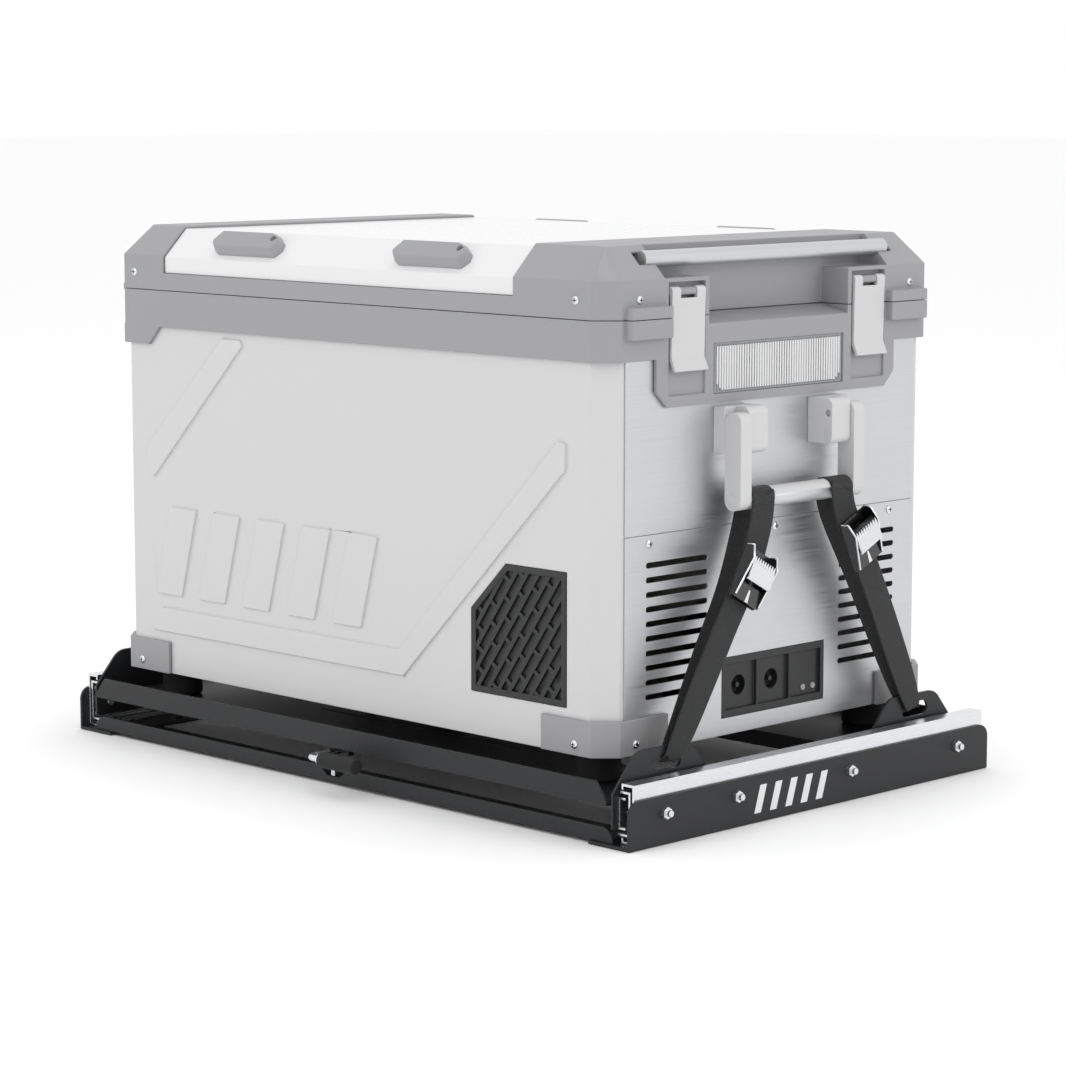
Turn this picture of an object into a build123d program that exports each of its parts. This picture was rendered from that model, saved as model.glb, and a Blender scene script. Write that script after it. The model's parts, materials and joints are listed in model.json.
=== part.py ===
from build123d import *
import math
import os

# Compressor cooler fridge standing on a slide-out tray, tied down by two webbing straps.
# Frame: millimetres, +Z up, origin on the floor under the middle of the slide base.
# +X is the latch end, -Y is the side that the tray slides out of.

os.makedirs("parts", exist_ok=True)

# ---------------------------------------------------------------- driving sizes
base_length = 768.8          # over the two side brackets, along X
base_depth = 500.0           # length of the side brackets, along Y
fridge_length = 674.3        # cabinet along X
fridge_depth = 443.0         # cabinet along Y
fridge_centre_x = -8.35      # where the cabinet stands on the tray
cabinet_bottom_z = 68.0
seam_z = 449.6               # parting line between lid and cabinet
lid_top_z = 512.0

# side brackets
bracket_thick = 3.0
bracket_height = 43.0
bracket_flange = 49.4
bracket_corner = 12.0
flange_inset = 36.4          # floor bolts and rivets, in from the bracket's outer face
floor_bolt_y = 150.0
floor_bolt_r = 4.5

# telescopic rails
rail_height = 53.0
rail_length = 485.0
rail_rear_y = 244.0
rail_lift = 0.5
outer_reach = 15.0
outer_sheet = 2.4
lip_width = 2.0
lip_height = 3.0
mid_sheet = 2.2
mid_back_gap = 2.2
mid_reach = 12.2
inner_sheet = 2.2
inner_reach = 8.6
slide_width = 19.0
outer_ball_r = 2.0
inner_ball_r = 1.5
race_gap = 0.15
cage_sheet = 0.6
cage_length = 300.0
ball_pitch = 15.0
slide_bolt_y = (-206.4, -113.7, 42.2, 199.2)
bolt_r = 3.0
bolt_z = 28.5
bolt_head = 1.2
bolt_head_r = 5.5
nut_height = 5.0
nut_r = 5.6
stud_end = 4.0

# cross rails of the base
cross_sheet = 2.5
cross_lip_top_z = 17.0
cross_depth = 47.0
cross_inset_y = 3.0
cross_end_gap = 23.0
cross_corner = 13.0
notch_floor = 8.0
notch_half_floor = 8.0
notch_half_top = 22.0

# tray
tray_sheet = 2.5
floor_top_z = 38.9
tray_lip_height = 20.2
tray_lip_slope = 13.0
front_plate_depth = 129.0
rear_plate_front_y = 84.0
rear_plate_back_y = 225.0
tray_flange_drop = 14.4
tray_slot_length = 280.0
tray_slot_width = 4.0
front_slot_y = -138.5
rear_slot_y = 140.0
ear_top_z = 80.5
ear_bottom_z = 16.3
ear_length = 126.0
ear_shoulder_z = 47.0
ear_top_inset = 29.0
ear_corner = 20.0
ear_slot_length = 38.0
ear_slot_width = 13.5
ear_slot_z = 66.0
ear_slot_shift = 4.0
ear_tab = 30.0
front_ear_y = -184.0
rear_ear_y = 161.0
sheet_gap = 0.3

# lock rod
rod_r = 3.0
rod_z = 31.5
rod_bore_gap = 0.05
rod_rear_y = 122.0
rod_front_y = -278.0
rod_bend = 8.0
grip_start_x = 19.0
grip_end_x = 68.0
grip_r = 7.5
tongue_width = 5.0
tongue_tip_z = 9.0
rear_tongue_y = 113.0
rivet_spacing = 33.0
bearing_depth = 26.0
bearing_thick = 7.0

# cabinet
corner_cut = 18.7
shell_wall = 2.0
end_plate_thick = 1.5
end_plate_half = 198.0
plate_seam_z = 260.6
foot_r = 20.0
guard_height = 32.0
guard_leg = 76.0
guard_thick = 4.0
rib_height = 2.5
trim_bottom_z = 413.6
trim_proud = 4.0
trim_deck_z = 440.2
mouth_inset_x = 46.0
mouth_inset_y = 47.5
bay_start_x = 155.0
bay_top_z = 245.0
fit_gap = 0.3
liner_wall = 2.0

# lens and end trim
lens_half = 89.0
lens_bottom_z = 379.0
lens_top_z = 424.0
end_trim_half = 163.0
end_trim_bottom_z = 371.0
end_trim_cut = 14.0

# latches
latch_y = 124.0
latch_width = 43.0
latch_sheet = 3.0
latch_pin_r = 1.8
latch_barrel_r = 4.2
latch_pin_in = 1.8
latch_pin_z = 472.0
latch_bend_z = 457.0
latch_low_z = 414.0
latch_lip_z = 402.5
latch_lip_out = 6.0
latch_side_gap = 2.0
pocket_depth = 6.8
pocket_top_z = 480.0
pocket_low_z = 381.0

# lid
crease_z = 483.5
lid_wall = 3.0
crease_sink = 0.4            # share of a wall's thickness that the crease steps down inside it
corner_sink = 0.6            # and that the cut corners shorten
panel_x0 = -270.0
panel_x1 = 218.0
panel_low_z = 466.7
panel_sink = 2.5
grab_half = 152.0
grab_low_half = 95.0
grab_back = 33.0
scoop_drop = 7.6
scoop_back = 28.0
bumper_y0 = 150.0
bumper_y1 = 202.0
bumper_out = 8.0
bumper_reach = 10.4
bar_r = 7.5
hinge_out = 6.5
hinge_r = 6.0
hinge_pin_r = 2.5
knuckle_y = 180.0
knuckle_width = 46.0

# drop handles
handle_out = 23.7
handle_z = 354.0
handle_bar_z = 285.5
handle_bar_r = 9.2
arm_half = 9.5
arm_thick = 14.5
arm_inner_y = 70.5
arm_gap = 0.4
handle_pin_r = 3.0
bracket_inner_y = 44.0
bracket_z0 = 326.0
bracket_z1 = 368.0
bracket_front = 5.5
bracket_round = 7.0

# straps
strap_width = 30.0
strap_thick = 1.6
strap_y = 54.5
strap_foot_width = 21.0
strap_foot_shift = 6.0
bar_play = 0.5
slot_play = 0.65
front_buckle_y = -78.0
front_buckle_z = 219.0
rear_buckle_y = 74.0
rear_buckle_z = 238.0

# ---------------------------------------------------------------- worked out once
half_base = base_length / 2
floor_bolt_x = half_base - flange_inset
half_depth = base_depth / 2
bracket_in = half_base - bracket_thick
rail_low = bracket_thick + rail_lift
rail_top = rail_low + rail_height
rail_mid = (rail_low + rail_top) / 2
rail_front_y = rail_rear_y - rail_length
tray_edge = bracket_in - slide_width
floor_low_z = floor_top_z - tray_sheet
lip_top_z = floor_low_z + tray_lip_height
half_tray_floor = tray_edge - tray_sheet - sheet_gap
cab_x0 = fridge_centre_x - fridge_length / 2
cab_x1 = fridge_centre_x + fridge_length / 2
cab_y = fridge_depth / 2
trim_x0 = cab_x0 - trim_proud
trim_x1 = cab_x1 + trim_proud
trim_y = cab_y + trim_proud
mouth_x0 = cab_x0 + mouth_inset_x
mouth_x1 = cab_x1 - mouth_inset_x
mouth_y = cab_y - mouth_inset_y
shell_x1 = cab_x1 - end_plate_thick
deck_z = seam_z - 0.2
lid_low_z = seam_z + fit_gap
hinge_x = trim_x0 - hinge_out
handle_x1 = cab_x1 + handle_out
handle_x0 = cab_x0 - handle_out


def block(x0, x1, y0, y1, z0, z1, mode=Mode.ADD):
    """A box between two corners, in the part that is being built."""
    with Locations(((x0 + x1) / 2, (y0 + y1) / 2, (z0 + z1) / 2)):
        Box(abs(x1 - x0), abs(y1 - y0), abs(z1 - z0), mode=mode)


def rod_along_y(x, z, y0, y1, radius, mode=Mode.ADD):
    """A round bar or a round hole along Y."""
    with Locations((x, (y0 + y1) / 2, z)):
        Cylinder(radius, abs(y1 - y0), rotation=(90, 0, 0), mode=mode)


def rod_along_x(y, z, x0, x1, radius, mode=Mode.ADD):
    """A round bar or a round hole along X."""
    with Locations(((x0 + x1) / 2, y, z)):
        Cylinder(radius, abs(x1 - x0), rotation=(0, 90, 0), mode=mode)


def outline(points):
    """A closed straight-sided face in the sketch that is being drawn, turned to face up its plane."""
    area = sum(a[0] * b[1] - b[0] * a[1] for a, b in zip(points, points[1:] + points[:1]))
    Polygon(*(points if area > 0 else points[::-1]), align=None)


def cut_rectangle(x0, x1, half_y, corner):
    """A rectangle whose four corners are cut at 45 degrees."""
    outline(
        [
            (x0 + corner, -half_y),
            (x1 - corner, -half_y),
            (x1, -half_y + corner),
            (x1, half_y - corner),
            (x1 - corner, half_y),
            (x0 + corner, half_y),
            (x0, half_y - corner),
            (x0, -half_y + corner),
        ]
    )


def save(part, name):
    """Label a finished piece and write its STEP file."""
    part.label = name
    export_step(part, "parts/" + name + ".step")


def save_pair(part, name):
    """Write a right-hand piece and its mirror image on the left."""
    save(part, "right_" + name)
    save(mirror(part, about=Plane.YZ), "left_" + name)


# ---------------------------------------------------------------- slide base
with BuildPart() as side_bracket:
    with BuildSketch(Plane.YZ.offset(bracket_in)):
        outline([(-half_depth, 0), (half_depth, 0), (half_depth, bracket_height), (-half_depth,
            bracket_height)])
        fillet(vertices().group_by(Axis.Y)[-1], bracket_corner)
    extrude(amount=bracket_thick)
    block(half_base - bracket_flange, half_base, -half_depth, half_depth, 0, bracket_thick)
    for bolt_y in slide_bolt_y:
        rod_along_x(bolt_y, bolt_z, bracket_in - 1, half_base + 1, bolt_r, Mode.SUBTRACT)
    with Locations((floor_bolt_x, 0, bracket_thick)):
        with GridLocations(1, 2 * floor_bolt_y, 1, 2):
            Hole(floor_bolt_r, bracket_thick)
save_pair(side_bracket.part, "side_bracket")

cross_half = half_base - cross_end_gap
cross_y = half_depth - cross_inset_y
with BuildPart() as cross_rail:
    with BuildSketch(Plane.XZ.offset(cross_y - cross_sheet)):
        outline(
            [
                (-cross_half, bracket_thick),
                (cross_half, bracket_thick),
                (cross_half, cross_lip_top_z),
                (notch_half_top, cross_lip_top_z),
                (notch_half_floor, notch_floor),
                (-notch_half_floor, notch_floor),
                (-notch_half_top, cross_lip_top_z),
                (-cross_half, cross_lip_top_z),
            ]
        )
        ends = vertices().group_by(Axis.Y)[-1]
        fillet([ends.sort_by(Axis.X)[0], ends.sort_by(Axis.X)[-1]], cross_corner)
    extrude(amount=cross_sheet)
    block(-cross_half, cross_half, -cross_y, cross_depth - cross_y, bracket_thick,
        bracket_thick + cross_sheet)
    with Locations(Plane.XY.offset(bracket_thick)):
        with Locations(*[(s * (half_base - flange_inset), cross_depth / 2 - cross_y + 2) for s in (-1, 1)]):
            Hole(2.5)
save(cross_rail.part, "front_cross_rail")
save(mirror(cross_rail.part, about=Plane.XZ), "rear_cross_rail")

outer_x0 = bracket_in - outer_reach
outer_web_x = bracket_in - outer_sheet
with BuildPart() as outer_rail:
    block(outer_web_x, bracket_in, rail_front_y, rail_rear_y, rail_low, rail_top)
    for flange_z, lip_z in (
        (rail_low, rail_low + outer_sheet),
        (rail_top - outer_sheet, rail_top - outer_sheet - lip_height),
    ):
        block(outer_x0, bracket_in, rail_front_y, rail_rear_y, flange_z, flange_z + outer_sheet)
        block(outer_x0, outer_x0 + lip_width, rail_front_y, rail_rear_y, lip_z, lip_z + lip_height)
    for bolt_y in slide_bolt_y:
        rod_along_x(bolt_y, bolt_z, outer_web_x - 1, bracket_in + 1, bolt_r, Mode.SUBTRACT)
save_pair(outer_rail.part, "outer_rail")

with BuildPart() as base_fasteners:
    for side in (-1, 1):
        for bolt_y in slide_bolt_y:
            rod_along_x(bolt_y, bolt_z, side * (outer_web_x - bolt_head), side * outer_web_x, bolt_head_r)
            rod_along_x(bolt_y, bolt_z, side * outer_web_x,
                side * (half_base + nut_height + stud_end), bolt_r)
            with BuildSketch(Plane.YZ.offset(side * half_base)):
                with Locations((bolt_y, bolt_z)):
                    RegularPolygon(nut_r, 6, rotation=30)
            extrude(amount=side * nut_height)
        for rail_side in (-1, 1):
            rivet_y = rail_side * (cross_y - cross_depth / 2 - 2)
            with Locations((side * (half_base - flange_inset), rivet_y, bracket_thick + cross_sheet / 2)):
                Cylinder(2.5, cross_sheet)
            with Locations((side * (half_base - flange_inset), rivet_y, bracket_thick + cross_sheet + 0.75)):
                Cylinder(4.0, 1.5)
save(base_fasteners.part, "base_fasteners")

# ---------------------------------------------------------------- moving rail members
outer_ball_z = rail_low + outer_sheet + race_gap + outer_ball_r
mid_low = outer_ball_z + outer_ball_r + race_gap
mid_high = 2 * rail_mid - mid_low
mid_web_x = outer_web_x - mid_back_gap - mid_sheet
mid_x0 = mid_web_x + mid_sheet - mid_reach
with BuildPart() as middle_rail:
    block(mid_web_x, mid_web_x + mid_sheet, rail_front_y, rail_rear_y, mid_low, mid_high)
    block(mid_x0, mid_web_x, rail_front_y, rail_rear_y, mid_low, mid_low + mid_sheet)
    block(mid_x0, mid_web_x, rail_front_y, rail_rear_y, mid_high - mid_sheet, mid_high)
save_pair(middle_rail.part, "middle_rail")

inner_ball_z = mid_low + mid_sheet + race_gap + inner_ball_r
inner_low = inner_ball_z + inner_ball_r + race_gap
inner_high = 2 * rail_mid - inner_low
inner_x1 = tray_edge + inner_reach
ear_screw_z = rod_z - 2.5
ear_screw_offset = 46.0
with BuildPart() as inner_rail:
    block(tray_edge, tray_edge + inner_sheet, rail_front_y, rail_rear_y, inner_low, inner_high)
    block(tray_edge, inner_x1, rail_front_y, rail_rear_y, inner_low, inner_low + inner_sheet)
    block(tray_edge, inner_x1, rail_front_y, rail_rear_y, inner_high - inner_sheet, inner_high)
    for ear_y in (front_ear_y, rear_ear_y):
        for side in (-1, 1):
            screw_y = ear_y + side * ear_screw_offset
            rod_along_x(screw_y, ear_screw_z, tray_edge - 1, tray_edge + inner_sheet + 1, 2.0, Mode.SUBTRACT)
save_pair(inner_rail.part, "inner_rail")

cage_mid_y = (rail_front_y + rail_rear_y) / 2
ball_count = int(cage_length / ball_pitch) - 1


def ball_cage(web_x, reach, ball_x, ball_z, ball_r):
    """Add a folded retainer strip and its two rows of balls, on both sides of the slide."""
    y0 = cage_mid_y - cage_length / 2
    y1 = cage_mid_y + cage_length / 2
    high_z = 2 * rail_mid - ball_z
    for side in (-1, 1):
        block(side * web_x, side * (web_x - cage_sheet), y0, y1, ball_z - cage_sheet / 2,
            high_z + cage_sheet / 2)
        for row_z in (ball_z, high_z):
            block(side * (web_x - reach), side * web_x, y0, y1, row_z - cage_sheet / 2,
                row_z + cage_sheet / 2)
            with Locations((side * ball_x, cage_mid_y, row_z)):
                with GridLocations(1, ball_pitch, 1, ball_count):
                    Sphere(ball_r)


with BuildPart() as outer_ball_cages:
    ball_cage(outer_web_x - bolt_head - 0.3, 8.4, outer_x0 + lip_width + 3.1, outer_ball_z, outer_ball_r)
save(outer_ball_cages.part, "outer_ball_cages")

with BuildPart() as inner_ball_cages:
    ball_cage(mid_web_x - 0.3, 8.2, inner_x1 - 3.0, inner_ball_z, inner_ball_r)
save(inner_ball_cages.part, "inner_ball_cages")

# ---------------------------------------------------------------- tray
lip_half_low = half_tray_floor - 3.0
lip_half_high = lip_half_low - tray_lip_slope
tray_front_y = -half_depth
front_plate_back_y = tray_front_y + front_plate_depth
floor_screw_x = half_tray_floor - 10.7
floor_screw_step = 51.0


def tray_plate(y_lip, y_edge, slot_y, ear_y):
    """Add one folded tray plate: floor, upright lip, drop flange, slot and holes."""
    lip_in = tray_sheet if y_edge > y_lip else -tray_sheet
    block(-half_tray_floor, half_tray_floor, y_lip + 4 * lip_in, y_edge, floor_low_z, floor_top_z)
    block(-lip_half_low, lip_half_low, y_lip, y_lip + 4 * lip_in, floor_low_z, floor_top_z)
    with BuildSketch(Plane.XZ.offset(-y_lip)) as lip:
        outline(
            [
                (-lip_half_low, floor_low_z),
                (lip_half_low, floor_low_z),
                (lip_half_low, floor_top_z + 2),
                (lip_half_high, lip_top_z),
                (-lip_half_high, lip_top_z),
                (-lip_half_low, floor_top_z + 2),
            ]
        )
    extrude(lip.sketch, amount=-lip_in)
    block(-half_tray_floor + ear_tab, half_tray_floor - ear_tab, y_edge - lip_in, y_edge,
          floor_top_z - tray_flange_drop, floor_low_z)
    rod_along_y(0, rod_z, y_edge - 2 * lip_in, y_edge + lip_in, rod_r + rod_bore_gap, Mode.SUBTRACT)
    with BuildSketch(Plane.XY.offset(floor_low_z)) as holes:
        with Locations((0, slot_y)):
            SlotOverall(tray_slot_length, tray_slot_width)
        with Locations((0, ear_y)):
            with GridLocations(2 * floor_screw_x, floor_screw_step, 2, 2):
                Circle(2.0)
    extrude(holes.sketch, amount=tray_sheet, mode=Mode.SUBTRACT)


front_bearing_y = tray_front_y + 30
rear_bearing_y = rear_tongue_y + 1.5
with BuildPart() as front_tray_plate:
    tray_plate(tray_front_y, front_plate_back_y, front_slot_y, front_ear_y)
    with Locations((0, front_bearing_y, floor_low_z)):
        with GridLocations(rivet_spacing, 1, 2, 1):
            Cylinder(2.0, 4 * tray_sheet, mode=Mode.SUBTRACT)
save(front_tray_plate.part, "front_tray_plate")

with BuildPart() as rear_tray_plate:
    tray_plate(rear_plate_back_y, rear_plate_front_y, rear_slot_y, rear_ear_y)
    with Locations((0, rear_bearing_y, floor_low_z)):
        with GridLocations(rivet_spacing, 1, 2, 1):
            Cylinder(2.0, 4 * tray_sheet, mode=Mode.SUBTRACT)
save(rear_tray_plate.part, "rear_tray_plate")


def tie_ear(ear_y):
    """Add one upright ear with its strap slot and the tab that the floor screws to."""
    y0 = ear_y - ear_length / 2
    y1 = ear_y + ear_length / 2
    ear_x = tray_edge - tray_sheet
    with BuildSketch(Plane.YZ.offset(ear_x)) as sheet:
        outline(
            [
                (y0, ear_bottom_z),
                (y1, ear_bottom_z),
                (y1, ear_shoulder_z),
                (y1 - ear_top_inset, ear_top_z),
                (y0 + ear_top_inset, ear_top_z),
                (y0, ear_shoulder_z),
            ]
        )
        fillet(sheet.vertices().group_by(Axis.Y)[-1], ear_corner)
        with Locations((ear_y + ear_slot_shift, ear_slot_z)):
            SlotOverall(ear_slot_length, ear_slot_width, mode=Mode.SUBTRACT)
        with Locations((ear_y - ear_screw_offset, ear_screw_z), (ear_y + ear_screw_offset, ear_screw_z)):
            Circle(2.0, mode=Mode.SUBTRACT)
    extrude(sheet.sketch, amount=tray_sheet)
    block(ear_x - ear_tab, ear_x, y0 + 8, y1 - 8, floor_low_z - tray_sheet, floor_low_z)
    with Locations((floor_screw_x, ear_y, floor_low_z)):
        with GridLocations(1, floor_screw_step, 1, 2):
            Cylinder(2.0, 3 * tray_sheet, mode=Mode.SUBTRACT)


with BuildPart() as front_ear:
    tie_ear(front_ear_y)
save_pair(front_ear.part, "front_ear")

with BuildPart() as rear_ear:
    tie_ear(rear_ear_y)
save_pair(rear_ear.part, "rear_ear")

with BuildPart() as tray_screws:
    for side in (-1, 1):
        for ear_y in (front_ear_y, rear_ear_y):
            for step in (-1, 1):
                floor_y = ear_y + step * floor_screw_step / 2
                with Locations((side * floor_screw_x, floor_y, floor_top_z - tray_sheet)):
                    Cylinder(2.0, 2 * tray_sheet)
                with Locations((side * floor_screw_x, floor_y, floor_top_z + 0.8)):
                    Cylinder(4.0, 1.6)
                rail_y = ear_y + step * ear_screw_offset
                screw_in = tray_edge - tray_sheet
                rod_along_x(rail_y, ear_screw_z, side * (screw_in - 1.8), side * screw_in, 4.0)
                rod_along_x(rail_y, ear_screw_z, side * screw_in, side * (tray_edge + inner_sheet), 2.0)
    for bearing_y in (front_bearing_y, rear_bearing_y):
        for side in (-1, 1):
            with Locations((side * rivet_spacing / 2, bearing_y, floor_low_z)):
                Cylinder(2.0, 2 * tray_sheet)
            with Locations((side * rivet_spacing / 2, bearing_y, floor_top_z + 0.5)):
                Cylinder(3.5, 1.0)
save(tray_screws.part, "tray_screws")

bearing_top = floor_low_z
bearing_low = rod_z - rod_r - 2.5
with BuildPart() as rod_bearings:
    for bearing_y in (front_bearing_y, rear_bearing_y):
        block(-rivet_spacing / 2 - 6, rivet_spacing / 2 + 6, bearing_y - bearing_depth / 2,
              bearing_y + bearing_depth / 2, bearing_top - 1.4, bearing_top)
        for end in (-1, 1):
            lug_y = bearing_y + end * (bearing_depth / 2 - bearing_thick / 2)
            block(-6.5, 6.5, lug_y - bearing_thick / 2, lug_y + bearing_thick / 2, bearing_low,
                bearing_top - 1.4)
        rod_along_y(0, rod_z, bearing_y - bearing_depth, bearing_y + bearing_depth,
            rod_r + rod_bore_gap, Mode.SUBTRACT)
        with Locations((0, bearing_y, bearing_top)):
            with GridLocations(rivet_spacing, 1, 2, 1):
                Cylinder(2.0, 6, mode=Mode.SUBTRACT)
save(rod_bearings.part, "rod_bearings")

# ---------------------------------------------------------------- lock rod
front_tongue_y = -cross_y
with BuildPart() as lock_rod:
    with BuildLine() as rod_path:
        FilletPolyline((0, rod_rear_y, rod_z), (0, rod_front_y, rod_z), (grip_end_x - 3,
            rod_front_y, rod_z), radius=rod_bend)
    with BuildSketch(Plane.XZ.offset(-rod_rear_y)):
        with Locations((0, rod_z)):
            Circle(rod_r)
    sweep()
    for tongue_y in (front_tongue_y, rear_tongue_y):
        block(-tongue_width / 2, tongue_width / 2, tongue_y, tongue_y + 3, tongue_tip_z, rod_z)
    rod_along_x(rod_front_y, rod_z, grip_start_x - 3, grip_start_x - 0.2, rod_r + 2)
save(lock_rod.part, "lock_rod")

with BuildPart() as lock_grip:
    rod_along_x(rod_front_y, rod_z, grip_start_x, grip_end_x, grip_r)
    fillet(edges().filter_by(GeomType.CIRCLE), 2.0)
    rod_along_x(rod_front_y, rod_z, grip_start_x - 1, grip_end_x - 3, rod_r, Mode.SUBTRACT)
save(lock_grip.part, "lock_grip")

# ---------------------------------------------------------------- cabinet
grille_x0 = 161.0
grille_x1 = 281.0
grille_z0 = 108.0
grille_z1 = 228.0
grille_cut = 44.0
vent_first_z = 233.6
vent_pitch = 13.0
vent_rows = 10
vent_length = 80.0
vent_height = 5.0
vent_mid_y = 131.0
panel_half = 71.0
panel_z0 = 84.0
panel_z1 = 139.5


def grille_outline(grow):
    """The side grille's outline with one cut corner, grown by an amount."""
    outline(
        [
            (grille_x0 - grow, grille_z0 - grow),
            (grille_x1 + grow, grille_z0 - grow),
            (grille_x1 + grow, grille_z1 + grow),
            (grille_x0 + grille_cut, grille_z1 + grow),
            (grille_x0 - grow, grille_z1 - grille_cut),
        ]
    )


with BuildPart() as cabinet_shell:
    with BuildSketch(Plane.XY.offset(cabinet_bottom_z)):
        cut_rectangle(cab_x0, shell_x1, cab_y, corner_cut)
    extrude(amount=trim_deck_z - liner_wall - cabinet_bottom_z)
    with BuildSketch(Plane.XY.offset(cabinet_bottom_z + shell_wall)):
        cut_rectangle(cab_x0 + shell_wall, shell_x1 - shell_wall, cab_y - shell_wall, corner_cut - 0.8)
    extrude(amount=trim_deck_z, mode=Mode.SUBTRACT)
    # raised ribs on the two long faces
    for face_y in (-1, 1):
        with BuildSketch(Plane.XZ.offset(-face_y * cab_y)) as ribs:
            outline([(-302, 271), (-292, 264), (-153, 402), (-157, 407), (-184, 407), (-301, 295)])
            outline([(-281, 134), (65, 134), (272, 343), (281, 341), (281, 318), (72, 110), (-295,
                110), (-299, 114)])
            for bead in range(5):
                outline([(-290 + 66 * bead, 148), (-250 + 66 * bead, 148), (-226 + 66 * bead, 236),
                    (-266 + 66 * bead, 236)])
            fillet(ribs.vertices(), 2.0)
        extrude(amount=-face_y * rib_height)
    # openings: grille, latch-end vents and power panel
    with BuildSketch(Plane.XZ.offset(cab_y + rib_height)):
        grille_outline(0.0)
    extrude(amount=-(shell_wall + rib_height + 1), mode=Mode.SUBTRACT)
    block(shell_x1 - shell_wall - 1, shell_x1 + 1, -180, 180, panel_z0 - 8, bay_top_z - 4, Mode.SUBTRACT)
save(cabinet_shell.part, "cabinet_shell")

with BuildPart() as upper_end_plate:
    block(shell_x1, cab_x1, -end_plate_half, end_plate_half, plate_seam_z + 0.3, trim_bottom_z + 8)
save(upper_end_plate.part, "upper_end_plate")

with BuildPart() as lower_end_plate:
    block(shell_x1, cab_x1, -end_plate_half, end_plate_half, cabinet_bottom_z + 1, plate_seam_z - 0.3)
    with BuildSketch(Plane.YZ.offset(shell_x1)):
        with Locations(*[(s * vent_mid_y, vent_first_z - vent_pitch * row) for s in (-1,
                1) for row in range(vent_rows)]):
            SlotOverall(vent_length, vent_height)
        with Locations((0, (panel_z0 + panel_z1) / 2)):
            Rectangle(2 * panel_half, panel_z1 - panel_z0)
    extrude(amount=end_plate_thick, mode=Mode.SUBTRACT)
save(lower_end_plate.part, "lower_end_plate")

liner_low_z = 110.0
step_z = 285.0
step_x = 125.0
flange_top = trim_deck_z
foam_gap = 0.1
evaporator_thick = 1.2
with BuildPart() as inner_liner:
    block(mouth_x0, step_x, -mouth_y, mouth_y, liner_low_z, flange_top)
    block(step_x, mouth_x1, -mouth_y, mouth_y, step_z, flange_top)
    block(mouth_x0 + liner_wall, step_x - liner_wall, -mouth_y + liner_wall, mouth_y - liner_wall,
          liner_low_z + liner_wall, flange_top + 1, Mode.SUBTRACT)
    block(step_x - 3, mouth_x1 - liner_wall, -mouth_y + liner_wall, mouth_y - liner_wall,
          step_z + liner_wall, flange_top + 1, Mode.SUBTRACT)
    with BuildSketch(Plane.XY.offset(flange_top - liner_wall)):
        cut_rectangle(cab_x0 + 1, shell_x1 - 1, cab_y - 1, corner_cut)
    extrude(amount=liner_wall)
    block(mouth_x0 + liner_wall, mouth_x1 - liner_wall, -mouth_y + liner_wall, mouth_y - liner_wall,
          flange_top - 2 * liner_wall, flange_top + 1, Mode.SUBTRACT)
save(inner_liner.part, "inner_liner")

evap_low = 140.0
evap_high = 400.0
with BuildPart() as evaporator:
    block(mouth_x0 - evaporator_thick, step_x + evaporator_thick, -mouth_y - evaporator_thick,
          mouth_y + evaporator_thick, evap_low, evap_high)
    block(mouth_x0 - 0.1, step_x + 0.1, -mouth_y - 0.1, mouth_y + 0.1, evap_low - 1, evap_high + 1,
        Mode.SUBTRACT)
    block(step_x - 5, step_x + 5, -mouth_y - 5, mouth_y + 5, step_z - 4, evap_high + 1, Mode.SUBTRACT)
save(evaporator.part, "evaporator")

foam_top = flange_top - liner_wall - foam_gap
with BuildPart() as foam_insulation:
    with BuildSketch(Plane.XY.offset(cabinet_bottom_z + shell_wall + foam_gap)):
        cut_rectangle(cab_x0 + shell_wall + foam_gap, shell_x1 - shell_wall - foam_gap,
                      cab_y - shell_wall - foam_gap, corner_cut - 0.8)
    extrude(amount=foam_top - cabinet_bottom_z - shell_wall - foam_gap)
    block(bay_start_x, cab_x1, -cab_y, cab_y, cabinet_bottom_z, bay_top_z, Mode.SUBTRACT)
    grow = evaporator_thick + foam_gap
    block(mouth_x0 - grow, step_x + grow, -mouth_y - grow, mouth_y + grow,
          liner_low_z - foam_gap, foam_top + 1, Mode.SUBTRACT)
    block(step_x, mouth_x1 + foam_gap, -mouth_y - foam_gap, mouth_y + foam_gap,
          step_z - foam_gap, foam_top + 1, Mode.SUBTRACT)
save(foam_insulation.part, "foam_insulation")

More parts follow.
